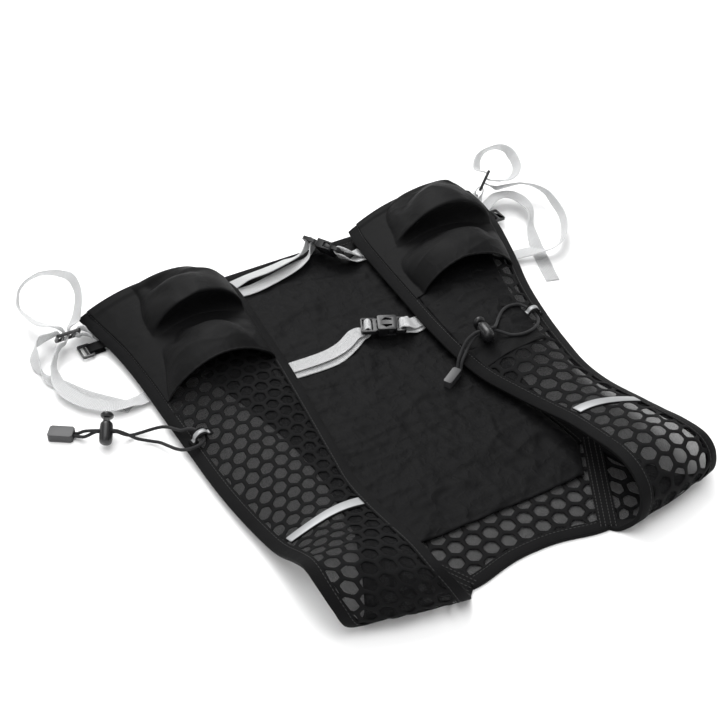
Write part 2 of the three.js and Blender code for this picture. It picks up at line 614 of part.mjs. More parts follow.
// Side-release buckles of the chest straps: a prong with two web slots, and a socket with one
const buckle = {
  length: 36, width: 18, slotLength: 13.4, slotWidth: 3, plateWall: 3.2, socketWall: 7.4, cavityWall: 4.2,
  prongEndBar: 1.6, socketEndBar: 3, middleBar: 2, socketMouth: -4.5,
};
const prongSlot = -buckle.length / 2 + buckle.prongEndBar + buckle.slotWidth / 2; // next to the prong's end
const returnSlot = prongSlot + buckle.slotWidth + buckle.middleBar;
const socketSlot = buckle.length / 2 - buckle.socketEndBar - buckle.slotWidth / 2;
const socketBack = socketSlot - buckle.slotWidth / 2 - 1.2; // where the socket's thick part ends
const armReach = socketBack - 1.8;

function buckleProng() {
  const half = buckle.width / 2;
  const reach = armReach;
  const arm = [[-7, half - 4], [reach - 5, half - 3.4], [reach, half - 3], [reach, half - 1.8],
    [reach - 3, half - 0.2], [reach - 4.6, half - 0.2], [reach - 5.2, half - 1.3], [-7, half - 1.3]];
  const arms = [1, -1].map(
    (sign) => slab(arm.map(([x, y]) => new THREE.Vector2(x, sign * y)), buckle.plateWall));
  const frame = plate(rectangle(-buckle.length / 2, buckle.socketMouth - 0.4, -half, half, 1.5),
    [prongSlot, returnSlot].map((x) => slotAt(x, buckle.slotWidth, buckle.slotLength)), buckle.plateWall);
  const guide = block(-6, reach - 1, -1.6, 1.6, buckle.plateWall);
  return geometryOfSolid(frame.add(arms[0]).add(arms[1]).add(guide));
}

function buckleSocket() {
  const half = buckle.width / 2;
  const reach = armReach;
  let body = block(buckle.socketMouth, socketBack, -half, half, buckle.socketWall, 1.2)
    .add(block(socketBack - 1, buckle.length / 2, -half, half, buckle.plateWall, 1.5))
    .subtract(block(buckle.socketMouth - 2, reach + 0.4, -half + 0.9, half - 0.9, buckle.cavityWall))
    .subtract(slab(slotAt(socketSlot, buckle.slotWidth, buckle.slotLength), 20));
  // The arms' tips stand in a window in each side, and each face is cut open beside its middle rib.
  const face = [[-1.5, 2.6], [7, 2.6], [7, 4.4], [2, 6.2]];
  for (const sign of [1, -1]) {
    const [a, b] = [sign * (half - 2), sign * (half + 1)];
    body = body
      .subtract(block(reach - 6.2, reach + 0.4, Math.min(a, b), Math.max(a, b), buckle.cavityWall))
      .subtract(slab(face.map(([x, y]) => new THREE.Vector2(x, y * sign)), 20));
  }
  return geometryOfSolid(body);
}

const upperBuckle = placed([35.6, 184.6, 14.2], [0.49, -0.87, 0], [-0.505, -0.303, 0.808]);
const lowerBuckle = placed([27, 69, 11.6], [0.9, -0.436, 0], [0.436, 0.9, 0]);
for (const [name, matrix] of [["upper", upperBuckle], ["lower", lowerBuckle]]) {
  add(`${name}_buckle_prong`, buckleProng(), materials.plastic, matrix);
  add(`${name}_buckle_socket`, buckleSocket(), materials.plastic, matrix);
}

// Chest straps: webs folded round the buckles' bars, both layers sewn under the front panels' edges.
// Rows are stations: x, y, z of the middle, then the width's direction.

// Round a prong's middle bar on its Z side (turn 1) or the other (-1), and round a socket's end bar.
const roundMiddleBar = (matrix, turn, way) => [
  stationIn(matrix, prongSlot, -3.5 * turn, way), stationIn(matrix, prongSlot, 0.6 * turn, way),
  stationIn(matrix, (prongSlot + returnSlot) / 2, 3 * turn, way),
  stationIn(matrix, returnSlot, 0.6 * turn, way), stationIn(matrix, returnSlot, -3.5 * turn, way),
];
const roundEndBar = (matrix, way) => [
  stationIn(matrix, buckle.length / 2 + 1.4, 3, way), stationIn(matrix, socketSlot + 1.4, 3, way),
  stationIn(matrix, socketSlot - 0.2, 1, way), stationIn(matrix, socketSlot - 0.2, -1, way),
  stationIn(matrix, socketSlot + 1.4, -3, way), stationIn(matrix, buckle.length / 2 + 1.4, -3, way),
];

add("upper_strap_left", ribbon([
  [-66, 181, 6, 0, 1, 0], [-53, 182, 6.4, 0, 1, -0.05], [-38, 182.5, 9.5, 0, 0.95, -0.28],
  [-20, 182, 11, 0, 0.95, -0.28], [0, 185, 11.5, 0.1, 0.9, -0.4], [16, 191, 9.5, 0.4, 0.6, -0.6],
  ...roundMiddleBar(upperBuckle, -1, -1),
  [18, 184, 8.6, 0.4, 0.8, -0.3], [0, 178.5, 6.8, 0.1, 0.98, -0.05], [-20, 174, 6, 0, 1, 0],
  [-38, 171.5, 5.2, 0, 1, 0], [-53, 173, 4.5, 0, 1, 0], [-66, 174, 4.5, 0, 1, 0],
], 2, webWidth, webWall), materials.web);
add("upper_strap_right", ribbon([
  [76, 172, 6.4, 0, 1, 0], [63, 171, 6.5, 0, 1, 0], [56, 170.5, 8.5, 0.2, 0.8, -0.4],
  ...roundEndBar(upperBuckle, -1).reverse(),
  [52.5, 164, 6.6, 0.35, 0.7, -0.45], [63, 167.5, 4.8, 0, 1, 0], [76, 169, 4.7, 0, 1, 0],
], 2, webWidth, webWall), materials.web);
add("lower_strap_left", ribbon([
  [-72, 64, 6.2, 0, 1, 0], [-58, 63.5, 6.8, 0, 1, 0], [-42, 62, 7.6, 0, 1, 0], [-24, 62.5, 7.8, 0, 1, 0],
  [-9, 67, 7.8, -0.2, 0.98, 0], [4, 74.5, 7.9, -0.2, 0.98, 0],
  ...roundMiddleBar(lowerBuckle, 1, 1),
  [8, 73, 5.2, 0.1, 0.98, 0], [-6, 64.5, 5.2, -0.2, 0.98, 0], [-22, 57.5, 5, -0.1, 1, 0],
  [-42, 57, 4.9, 0, 1, 0], [-58, 58, 4.9, 0, 1, 0], [-72, 58.5, 4.7, 0, 1, 0],
], 2, webWidth, webWall), materials.web);
add("lower_strap_right", ribbon([
  [74, 68, 6.3, 0, 1, 0], [60, 66.5, 6, 0, 1, 0], [51.5, 63.5, 8.6, 0.3, 0.95, 0],
  ...roundEndBar(lowerBuckle, 1),
  [52, 61, 5.8, 0.3, 0.95, 0], [60, 64, 4.5, 0, 1, 0], [74, 65, 4.7, 0, 1, 0],
], 2, webWidth, webWall), materials.web);

// Side straps: a ladder lock on a short web at each waist corner, and below it a slider on a tape

const pitch = 4.5; // from slot to slot of a ladder lock
const ladderSlots = [-1.5 * pitch, -0.5 * pitch, 0.5 * pitch, 1.5 * pitch];
const ladderHalf = 2 * pitch + 0.75;
const ladderGeometry = () => geometryOfSolid(plate(
  rectangle(-ladderHalf, ladderHalf, -8.5, 8.5, 1.4), ladderSlots.map((x) => slotAt(x, 3, 13.2)), 2.4));
const sliderTapeWidth = 10;
const sliderGeometry = () => geometryOfSolid(plate(
  rectangle(-5.2, 5.2, -8, 8, 1.2), [-2.23, 2.23].map((x) => slotAt(x, 3, 12.4)), 2));

// Places beside the vest, which move with its edges: x is a share of halfSpan and y of halfLength.
const besides = ([x, y, ...rest]) => [x * halfSpan, y * halfLength, ...rest];
const beside = (rows) => rows.map(besides);

const ladders = {
  left: placed(besides([-1.0649, 0.89, 13.5]), [-1, 0, 0], [0, 0.62, -0.785]),
  right: placed(besides([1.1027, 0.97, 22]), [-0.562, -0.171, -0.802], [0.503, 0.704, -0.503]),
};
const sliders = {
  left: placed(besides([-1.0162, 0.825, 3.3]), [-1, 0, 0], [0, -1, 0]),
  right: placed(besides([1.0514, 0.8, 7.4]), [1, 0, 0], [0, 1, 0]),
};
for (const side of ["left", "right"]) {
  add(`ladder_lock_${side}`, ladderGeometry(), materials.plastic, ladders[side]);
  add(`slider_${side}`, sliderGeometry(), materials.plastic, sliders[side]);
  add(`slider_tape_${side}`, ribbon([[-15, -1.9], [-6, -1.9], [-3.2, -1.5], [-2.23, 0], [-3.2, 1.5], [-6, 1.9],
    [-15, 1.9]].map(([x, z]) => stationIn(sliders[side], x, z)), 2, sliderTapeWidth, tapeWall), materials.tape);
}

// Round the end bar of a ladder lock beside its first slot (end -1) or its last (end 1).
const roundLadderEnd = (matrix, end, side) => [
  stationIn(matrix, end * (ladderHalf - 1.2), side * 2.6), stationIn(matrix, end * 1.5 * pitch, side * 0.9),
  stationIn(matrix, end * 1.5 * pitch, -side * 0.9), stationIn(matrix, end * (ladderHalf - 1.2), -side * 2.6),
];
// Half way into a ladder lock's slot from one side.
const intoSlot = (matrix, slot, side, way = 1) => [
  stationIn(matrix, ladderSlots[slot], side * 0.75, way), stationIn(matrix, ladderSlots[slot], side * 4, way),
];

add("anchor_web_left", ribbon([
  ...beside([
    [-0.8973, 0.905, 5.8, 0, 1, 0], [-0.9514, 0.905, 5.9, 0, 1, 0], [-0.9784, 0.905, 9.5, 0, 0.8, -0.5],
  ]),
  stationIn(ladders.left, -ladderHalf - 2, -3),
  ...roundLadderEnd(ladders.left, -1, -1),
  stationIn(ladders.left, -ladderHalf - 2, 3),
  ...beside([
    [-0.9784, 0.8875, 7, 0, 0.8, -0.5], [-0.9514, 0.885, 4.1, 0, 1, 0], [-0.8973, 0.885, 4.1, 0, 1, 0],
  ]),
], 2, webWidth, webWall), materials.web);
add("anchor_web_right", ribbon([
  ...beside([
    [0.9297, 0.925, 7.8, 0, 1, 0], [1.0108, 0.9275, 7.6, 0.1, 1, -0.05],
    [1.0541, 0.9425, 8.4, 0.4, 0.8, -0.4],
  ]),
  stationIn(ladders.right, ladderHalf + 2, 3),
  ...roundLadderEnd(ladders.right, 1, 1),
  stationIn(ladders.right, ladderHalf + 2, -3),
  ...beside([
    [1.0486, 0.9675, 10.6, 0.3, 0.85, -0.3], [1.0054, 0.9525, 9.2, 0, 1, 0],
    [0.9297, 0.9475, 9.2, 0, 1, 0],
  ]),
], 2, webWidth, webWall), materials.web);

// The loose loop of web that stands up from a ladder lock.
add("side_loop_left", ribbon([
  ...intoSlot(ladders.left, 1, -1),
  ...beside([
    [-1.0108, 0.94, 17, -0.39, 0.79, -0.47], [-0.9784, 0.98, 21, -0.23, 0.85, -0.48],
    [-0.9514, 1.025, 26, -0.19, 0.85, -0.49], [-0.9405, 1.065, 30, -0.26, 0.73, -0.63],
    [-0.9459, 1.12, 33, -0.29, 0.6, -0.74], [-0.9838, 1.155, 35, -0.16, 0.6, -0.78],
    [-1.027, 1.18, 35, 0.08, 0.61, -0.79], [-1.0649, 1.2, 33, 0.33, 0.61, -0.72],
    [-1.1189, 1.2, 30, 0.33, 0.69, -0.65], [-1.1568, 1.185, 26, 0.3, 0.72, -0.62],
    [-1.1784, 1.155, 22, 0.31, 0.74, -0.6], [-1.1892, 1.115, 19, 0.33, 0.77, -0.55],
    [-1.173, 1.06, 16, 0.35, 0.79, -0.5], [-1.1459, 1.01, 14.5, 0.32, 0.85, -0.41],
    [-1.1081, 0.965, 15, 0.2, 0.8, -0.5],
  ]),
  ...intoSlot(ladders.left, 2, -1).reverse(),
], 2, webWidth, webWall), materials.web);
add("side_loop_right", ribbon([
  ...intoSlot(ladders.right, 0, -1),
  ...beside([
    [1.0973, 1.015, 28, 0.76, 0.44, -0.48], [1.1135, 1.05, 28, 0.74, 0.41, -0.54],
    [1.1514, 1.09, 30, 0.69, 0.39, -0.6], [1.1946, 1.105, 33, 0.54, 0.49, -0.69],
    [1.2324, 1.09, 36, 0.47, 0.51, -0.72], [1.2595, 1.05, 38, 0.25, 0.42, -0.87],
    [1.2649, 1.01, 38, -0.07, 0.54, -0.84], [1.2595, 0.96, 37, -0.15, 0.62, -0.77],
    [1.2432, 0.915, 34, -0.17, 0.76, -0.63], [1.2162, 0.89, 31, -0.21, 0.8, -0.55],
    [1.1838, 0.89, 28, 0, 0.85, -0.5], [1.1459, 0.915, 25.5, 0.2, 0.8, -0.6],
  ]),
  ...intoSlot(ladders.right, 1, 1).reverse(),
], 2, webWidth, webWall), materials.web);

// The long web that runs from a ladder lock back under the front panel to the back panel's armhole.
add("side_web_left", ribbon([
  ...intoSlot(ladders.left, 2, 1),
  ...beside([
    [-1.1189, 0.855, 10, 0.31, 0.62, -0.73], [-1.1486, 0.8175, 9.3, 0.3, 0.61, -0.73],
    [-1.1757, 0.7675, 8.8, 0.4, 0.66, -0.64], [-1.1919, 0.7075, 8.6, 0.59, 0.66, -0.47],
    [-1.2, 0.6525, 8, 0.74, 0.62, -0.27], [-1.1865, 0.595, 7.4, 0.76, 0.64, 0],
    [-1.1486, 0.525, 6.8, 0.64, 0.77, 0], [-1.0973, 0.4775, 6.3, 0.62, 0.79, 0],
    [-1.0432, 0.4475, 6, 0.58, 0.8, -0.1], [-0.9838, 0.44, 5.6, 0.39, 0.85, -0.25],
    [-0.9351, 0.445, 4, 0.1, 0.98, -0.05], [-0.8757, 0.46, 3.7, 0, 1, 0], [-0.7568, 0.48, 4.1, 0, 1, 0],
    [-0.6162, 0.49, 4.3, 0, 1, 0],
  ]),
], 2, webWidth, webWall), materials.web);
add("side_web_right", ribbon([
  ...intoSlot(ladders.right, 2, 1),
  ...beside([
    [1.1351, 0.925, 17.5, 0.46, 0.5, -0.74], [1.1784, 0.915, 17.5, 0.42, 0.56, -0.71],
    [1.2216, 0.91, 17.3, 0.45, 0.6, -0.66], [1.2703, 0.9, 17, 0.48, 0.64, -0.6],
    [1.3135, 0.865, 16, 0.34, 0.67, -0.66], [1.3351, 0.81, 15, 0.25, 0.65, -0.72],
    [1.3297, 0.735, 14, 0.08, 0.65, -0.75], [1.3135, 0.655, 12.5, 0.09, 0.65, -0.76],
    [1.2757, 0.5775, 11.5, 0.09, 0.7, -0.71], [1.2297, 0.52, 10.5, 0.09, 0.64, -0.77],
    [1.173, 0.4775, 9.5, 0.19, 0.66, -0.73], [1.1135, 0.465, 9, 0.3, 0.66, -0.6],
    [1.0703, 0.4775, 8.6, 0.2, 0.9, -0.4], [1.0216, 0.5, 7.8, 0, 1, 0], [0.9676, 0.515, 6.6, 0, 1, 0],
    [0.8973, 0.525, 5.6, 0, 1, 0], [0.7568, 0.53, 4.6, 0, 1, 0], [0.6, 0.535, 4.3, 0, 1, 0],
  ]),
], 2, webWidth, webWall), materials.web);

// The tail: the web's free end, which curls round and lies on the ground under the long web.
add("side_tail_left", ribbon([
  ...intoSlot(ladders.left, 3, -1),
  ...beside([
    [-1.1405, 0.915, 14.5, 0.2, 0.45, -0.85], [-1.1784, 0.915, 13.5, 0.1, 0.3, -0.95],
    [-1.2108, 0.895, 12, 0, 0.6, -0.8], [-1.2324, 0.855, 9.5, -0.3, 0.8, -0.5],
    [-1.2378, 0.815, 6.5, -0.3, 0.85, -0.35], [-1.2297, 0.77, 3.6, -0.1, 0.95, -0.25],
    [-1.2054, 0.725, 1.4, 0.3, 0.95, -0.05], [-1.173, 0.675, 0.8, 0.6, 0.8, 0],
    [-1.1297, 0.605, 0.8, 0.65, 0.76, 0], [-1.0757, 0.54, 0.8, 0.62, 0.78, 0],
    [-1.0243, 0.485, 0.8, 0.65, 0.76, 0], [-0.9838, 0.4375, 0.8, 0.75, 0.66, 0],
  ]),
], 2, webWidth, webWall), materials.web);
add("side_tail_right", ribbon([
  ...beside([
    [0.9189, 0.8575, 7.8, 0, 1, 0], [1.0054, 0.8575, 8, 0, 1, 0], [1.0541, 0.87, 11, 0.1, 0.99, 0],
    [1.0973, 0.88, 14.5, 0.3, 0.95, -0.05], [1.1405, 0.88, 15, 0.61, 0.78, -0.1],
    [1.1838, 0.86, 14.5, 0.7, 0.71, 0], [1.2054, 0.815, 13.5, 0.69, 0.73, 0],
    [1.2054, 0.765, 12, 0.7, 0.7, -0.1], [1.1811, 0.705, 10, 0.61, 0.71, -0.36],
    [1.1459, 0.65, 7.5, 0.75, 0.6, -0.25], [1.1162, 0.59, 4.4, 0.9, 0.4, -0.1],
    [1.0946, 0.53, 1.6, 0.95, 0.2, 0], [1.0757, 0.475, 0.8, 0.98, 0.05, 0],
    [1.0486, 0.4, 0.8, 0.98, -0.1, 0], [1.0216, 0.32, 0.8, 0.95, -0.3, 0],
  ]),
], 2, webWidth, webWall), materials.web);

// Elastic cords: each runs from its toggle through the cord lock, round under its tab and back

const toggleSize = { length: 19, width: 12, wall: 6.2 };
const cordPitch = 3; // between the two runs of a cord
const cordClearance = 0.35;
const holeHalf = cordPitch / 2 + cordDiameter / 2 + cordClearance;
const holeRise = cordDiameter / 2 + cordClearance;

// A cord lock's frame has X along the cords, Y from one to the other and Z along the push button.
const cordLock = { long: 10, wide: 12.5, bottom: -10, top: 7, floor: -8.3, headBottom: 9.8, headTop: 14.4 };
const press = 2.5; // how far the button goes in
const oval = (long, wide) => new THREE.Shape(spread(0, 1, 16).slice(0, -1).map((share) => new THREE.Vector2(
  (Math.cos(2 * Math.PI * share) * long) / 2, (Math.sin(2 * Math.PI * share) * wide) / 2)));
const upright = (shape, bottom, top) => solidOf(
  new THREE.ExtrudeGeometry(shape, { depth: top - bottom, bevelEnabled: false }).translate(0, 0, bottom));
const bar = (x, y, bottom, top) => upright(new THREE.Shape(rectangle(-x, x, -y, y)), bottom, top);

function lockBody() {
  return geometryOfSolid(upright(oval(cordLock.long, cordLock.wide), cordLock.bottom, cordLock.top)
    .subtract(bar(3.3, 4.8, cordLock.floor, cordLock.top + 1))
    .subtract(bar(20, holeHalf, -holeRise, holeRise)));
}

function lockButton() {
  const stem = bar(3, 4.5, cordLock.floor + press + 0.2, cordLock.headBottom + 0.5);
  return geometryOfSolid(stem
    .add(upright(oval(cordLock.long, cordLock.wide), cordLock.headBottom, cordLock.headTop))
    .subtract(bar(20, holeHalf, -holeRise, holeRise + press)));
}

function toggle() {
  const { length, width, wall } = toggleSize;
  return geometryOfSolid(block(-length / 2, length / 2, -width / 2, width / 2, wall, 1.6)
    .subtract(block(length / 2 - 5, length / 2 + 1, -holeHalf, holeHalf, 2 * holeRise)));
}

const toggles = {
  left: placed(besides([-1.2946, 0.415, 3.4]), [0.826, -0.564, 0], [0.564, 0.826, 0]),
  right: placed(besides([0.2351, -0.0425, 7.4]), [0.85, 0.53, 0], [-0.53, 0.85, 0]),
};
const locks = {
  left: placed(besides([-1.1459, 0.305, 11.3]), [0.871, -0.491, 0], [0.2455, 0.4355, -0.864]),
  right: placed(besides([0.4443, 0.033, 27.4]), [0.97, -0.18, 0.1], [0.1, -0.1, -0.99]),
};

// A cord's place in a fitting's frame, on its first run (-1) or its return (1).
const runIn = (matrix, x, run) => vec(x, (run * cordPitch) / 2, 0).applyMatrix4(matrix).toArray();
const throughLock = (matrix, run) => [-7.5, -2.5, 2.5, 7.5].map((x) => runIn(matrix, x, run));
const toggleRun = (matrix, run) => [toggleSize.length / 2 - 4.6, toggleSize.length / 2 + 2].map(
  (x) => runIn(matrix, x, run));

const cordPoints = {
  left: [
    ...toggleRun(toggles.left, 1),
    ...beside([
      [-1.2162, 0.365, 7.5],
    ]),
    ...throughLock(locks.left, -1),
    ...beside([
      [-1.0703, 0.267, 7.4], [-1.0432, 0.247, 4.6], [-1.0011, 0.2235, 2.6], [-0.973, 0.19, 4],
      [-0.9568, 0.15, 6], [-0.9411, 0.109, 8.2], [-0.9249, 0.079, 10.6], [-0.9016, 0.062, 12.4],
      [-0.8681, 0.056, 13.8], [-0.8411, 0.065, 14.4], [-0.8324, 0.0875, 15], [-0.8357, 0.115, 15.3],
      [-0.8486, 0.14, 15], [-0.8681, 0.155, 14.3], [-0.8876, 0.164, 13], [-0.9043, 0.1915, 11.4],
      [-0.9211, 0.2245, 9.6], [-0.9416, 0.253, 6.6], [-0.9751, 0.272, 4], [-1.013, 0.281, 2.8],
      [-1.0541, 0.285, 3], [-1.0789, 0.285, 5.6],
    ]),
    ...throughLock(locks.left, 1).reverse(),
    ...beside([
      [-1.2238, 0.347, 5.6],
    ]),
    ...toggleRun(toggles.left, -1).reverse(),
  ],
  right: [
    ...toggleRun(toggles.right, 1),
    ...beside([
      [0.3027, 0.0125, 13], [0.3324, 0.0325, 17.5], [0.3649, 0.044, 23],
    ]),
    ...throughLock(locks.right, -1),
    ...beside([
      [0.5081, 0.0475, 27.5], [0.5324, 0.0725, 24.8], [0.5595, 0.0975, 24.3], [0.5984, 0.126, 24.3],
      [0.6357, 0.142, 23.6], [0.6692, 0.145, 22.8], [0.6984, 0.1405, 21.6], [0.7146, 0.122, 20.8],
      [0.7222, 0.095, 20.4], [0.7265, 0.0675, 19.8], [0.7211, 0.038, 19.6], [0.6892, 0.003, 20.8],
      [0.6378, -0.023, 22.6], [0.5805, -0.03, 23.7], [0.5389, -0.015, 24], [0.5108, 0.0075, 25.4],
    ]),
    ...throughLock(locks.right, 1).reverse(),
    ...beside([
      [0.3595, 0.0275, 18.6], [0.3324, 0.011, 15.6], [0.3081, -0.004, 12.2],
    ]),
    ...toggleRun(toggles.right, -1).reverse(),
  ],
};

function cord(points) {
  const path = new THREE.CatmullRomCurve3(points.map((point) => vec(...point)), false, "centripetal");
  const ring = new THREE.Shape(spread(0, 1, 8).slice(0, -1).map((share) => new THREE.Vector2(
    Math.cos(2 * Math.PI * share), Math.sin(2 * Math.PI * share)).multiplyScalar(cordDiameter / 2)));
  return new THREE.ExtrudeGeometry(ring, { steps: 60, extrudePath: path, bevelEnabled: false });
}

for (const side of ["left", "right"]) {
  add(`cord_toggle_${side}`, toggle(), materials.plastic, toggles[side]);
  add(`cord_lock_${side}`, lockBody(), materials.plastic, locks[side]);
  add(`cord_lock_button_${side}`, lockButton(), materials.plastic, locks[side]);
  add(`elastic_cord_${side}`, cord(cordPoints[side]), materials.cord);
}

export default vest;
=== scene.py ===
# A running hydration vest that lies on its back on a pale floor, its neck towards the camera.
# Metres, +Z up, the waist towards +Y, the wearer's right towards +X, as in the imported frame.
import itertools
import math

import bmesh
import bpy
import numpy as np
from mathutils import Matrix, Vector, noise


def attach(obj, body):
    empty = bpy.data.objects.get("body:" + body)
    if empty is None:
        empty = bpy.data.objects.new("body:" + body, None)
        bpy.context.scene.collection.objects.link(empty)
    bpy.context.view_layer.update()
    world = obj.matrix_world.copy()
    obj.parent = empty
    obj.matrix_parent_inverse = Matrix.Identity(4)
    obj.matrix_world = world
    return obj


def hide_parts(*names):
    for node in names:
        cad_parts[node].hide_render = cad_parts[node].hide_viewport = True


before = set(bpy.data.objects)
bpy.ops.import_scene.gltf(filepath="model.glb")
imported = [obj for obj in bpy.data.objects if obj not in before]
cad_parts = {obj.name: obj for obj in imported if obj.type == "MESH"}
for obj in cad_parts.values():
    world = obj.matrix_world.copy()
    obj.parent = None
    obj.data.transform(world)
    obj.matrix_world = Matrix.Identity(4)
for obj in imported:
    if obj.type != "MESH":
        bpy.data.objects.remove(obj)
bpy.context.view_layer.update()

# Camera, floor and light
# The camera stands past the neck end and looks down at 40 degrees, with a long lens. The floor is plain
# and pale, under a wide soft lamp from the waist side and a weaker one from the camera's side.

camera = bpy.data.objects.new("camera", bpy.data.cameras.new("camera"))
camera.data.lens = 75
camera.data.sensor_width = 36
camera.matrix_world = Matrix((
    (0.87104, 0.31311, -0.37848, -0.44959),
    (-0.49121, 0.55522, -0.67115, -0.73869),
    (0, 0.77051, 0.63742, 0.75178),
    (0, 0, 0, 1)))
bpy.context.scene.collection.objects.link(camera)
bpy.context.scene.camera = camera


def principled(name, colour, roughness, sheen=0.0, specular=0.5):
    """A new material and its shader, with plain values on the shader's own sockets."""
    material = bpy.data.materials.new(name)
    material.use_nodes = True
    shader = material.node_tree.nodes["Principled BSDF"]
    shader.inputs["Base Color"].default_value = (*colour, 1)
    shader.inputs["Roughness"].default_value = roughness
    shader.inputs["Sheen Weight"].default_value = sheen
    shader.inputs["Sheen Roughness"].default_value = 0.4
    shader.inputs["Specular IOR Level"].default_value = specular
    return material, shader


def linked(name, mesh):
    """A new object at the origin with this mesh, in the scene."""
    piece = bpy.data.objects.new(name, mesh)
    bpy.context.scene.collection.objects.link(piece)
    return piece


def mesh_of(name, points, faces, flat=None):
    """A mesh from points and faces. flat, for a UV map, is each point's place on the flat cloth in metres."""
    mesh = bpy.data.meshes.new(name)
    mesh.from_pydata([tuple(p) for p in np.asarray(points, float)], [],
                     [tuple(int(i) for i in face) for face in faces])
    if flat is not None:
        layer = mesh.uv_layers.new(name="flat")
        corners = np.empty(len(mesh.loops), dtype=np.int32)
        mesh.loops.foreach_get("vertex_index", corners)
        layer.data.foreach_set("uv", np.asarray(flat, float)[corners].ravel())
    mesh.polygons.foreach_set("use_smooth", [True] * len(mesh.polygons))
    mesh.update()
    return mesh


floor_reach = 6
floor_corners = [(x * floor_reach, y * floor_reach, 0) for x, y in ((-1, -1), (1, -1), (1, 1), (-1, 1))]
floor = linked("floor", mesh_of("floor", floor_corners, [(0, 1, 2, 3)]))
floor_paint, _ = principled("floor_paint", (0.93, 0.93, 0.93), 0.9)
floor.data.materials.append(floor_paint)

# Each lamp's place in metres, its turn in degrees, its width and its power in watts.
for name, place, turn, width, power in (
        ("waist_lamp", (0.25, 1.5, 1.7), (-40, 0, -8), 1.6, 46),
        ("top_lamp", (-0.3, -0.2, 2.3), (4, -7, 0), 2.2, 34),
        ("neck_lamp", (-1.5, -1.3, 1.3), (52, 0, -48), 1.4, 8)):
    lamp = bpy.data.lights.new(name, "AREA")
    lamp.shape = "DISK"
    lamp.size = width
    lamp.energy = power
    holder = linked(name, lamp)
    holder.location = place
    holder.rotation_euler = [math.radians(angle) for angle in turn]
world = bpy.data.worlds.new("studio")
world.use_nodes = True
sky = world.node_tree.nodes["Background"]
sky.inputs["Color"].default_value = (1, 1, 1, 1)
sky.inputs["Strength"].default_value = 0.55
bpy.context.scene.world = world
bpy.context.scene.view_settings.view_transform = "Standard"

# Elastic cords
# A black braided cord of 2.5 mm runs from its toggle through a push-button lock, round under a tab on
# the front panel, and back through the lock to the toggle. It is loose on both sides of the vest.

cord_width = 0.0025
cord_pitch = 0.003  # between the two runs of a cord
toggle_length = 0.019
cord_step = 0.0012  # from one ring of the cord's tube to the next


def placed(centre, along_x, along_y):
    """A fitting's frame: X across its slots, Y along them, Z through its thickness."""
    x = Vector(along_x).normalized()
    y = Vector(along_y)
    y = (y - x * y.dot(x)).normalized()
    return Matrix.Translation(centre) @ Matrix((x, y, x.cross(y))).transposed().to_4x4()


toggle_frames = {
    "left": placed((-0.2395, 0.083, 0.0034), (0.826, -0.564, 0), (0.564, 0.826, 0)),
    "right": placed((0.0435, -0.0085, 0.0074), (0.85, 0.53, 0), (-0.53, 0.85, 0)),
}
lock_frames = {
    "left": placed((-0.212, 0.061, 0.0113), (0.871, -0.491, 0), (0.2455, 0.4355, -0.864)),
    "right": placed((0.0822, 0.0066, 0.0274), (0.97, -0.18, 0.1), (0.1, -0.1, -0.99)),
}


def run_in(matrix, steps, run):
    """The cord's places in a fitting's frame, on its first run (-1) or its return (1)."""
    return [tuple(matrix @ Vector((x, run * cord_pitch / 2, 0))) for x in steps]


toggle_steps = (toggle_length / 2 - 0.0046, toggle_length / 2 + 0.002)
lock_steps = (-0.0075, -0.0025, 0.0025, 0.0075)
# What each cord follows outside its fittings: toggle to lock, round under the tab, and lock to toggle.
cord_stretches = {
    "left": (
        [(-0.225, 0.073, 0.0075)],
        [(-0.198, 0.0534, 0.0074), (-0.193, 0.0494, 0.0046), (-0.1852, 0.0447, 0.0026), (-0.18, 0.038, 0.004),
         (-0.177, 0.03, 0.006), (-0.1741, 0.0218, 0.0082), (-0.1711, 0.0158, 0.0106), (-0.1668, 0.0124, 0.0124),
         (-0.1606, 0.0112, 0.0138), (-0.1556, 0.013, 0.0144), (-0.154, 0.0175, 0.015), (-0.1546, 0.023, 0.0153),
         (-0.157, 0.028, 0.015), (-0.1606, 0.031, 0.0143), (-0.1642, 0.0328, 0.013), (-0.1673, 0.0383, 0.0114),
         (-0.1704, 0.0449, 0.0096), (-0.1742, 0.0506, 0.0066), (-0.1804, 0.0544, 0.004), (-0.1874, 0.0562, 0.0028),
         (-0.195, 0.057, 0.003), (-0.1996, 0.057, 0.0056)],
        [(-0.2264, 0.0694, 0.0056)]),
    "right": (
        [(0.056, 0.0025, 0.013), (0.0615, 0.0065, 0.0175), (0.0675, 0.0088, 0.023)],
        [(0.094, 0.0095, 0.0275), (0.0985, 0.0145, 0.0248), (0.1035, 0.0195, 0.0243), (0.1107, 0.0252, 0.0243),
         (0.1176, 0.0284, 0.0236), (0.1238, 0.029, 0.0228), (0.1292, 0.0281, 0.0216), (0.1322, 0.0244, 0.0208),
         (0.1336, 0.019, 0.0204), (0.1344, 0.0135, 0.0198), (0.1334, 0.0076, 0.0196), (0.1275, 0.0006, 0.0208),
         (0.118, -0.0046, 0.0226), (0.1074, -0.006, 0.0237), (0.0997, -0.003, 0.024), (0.0945, 0.0015, 0.0254)],
        [(0.0665, 0.0055, 0.0186), (0.0615, 0.0022, 0.0156), (0.057, -0.0008, 0.0122)]),
}


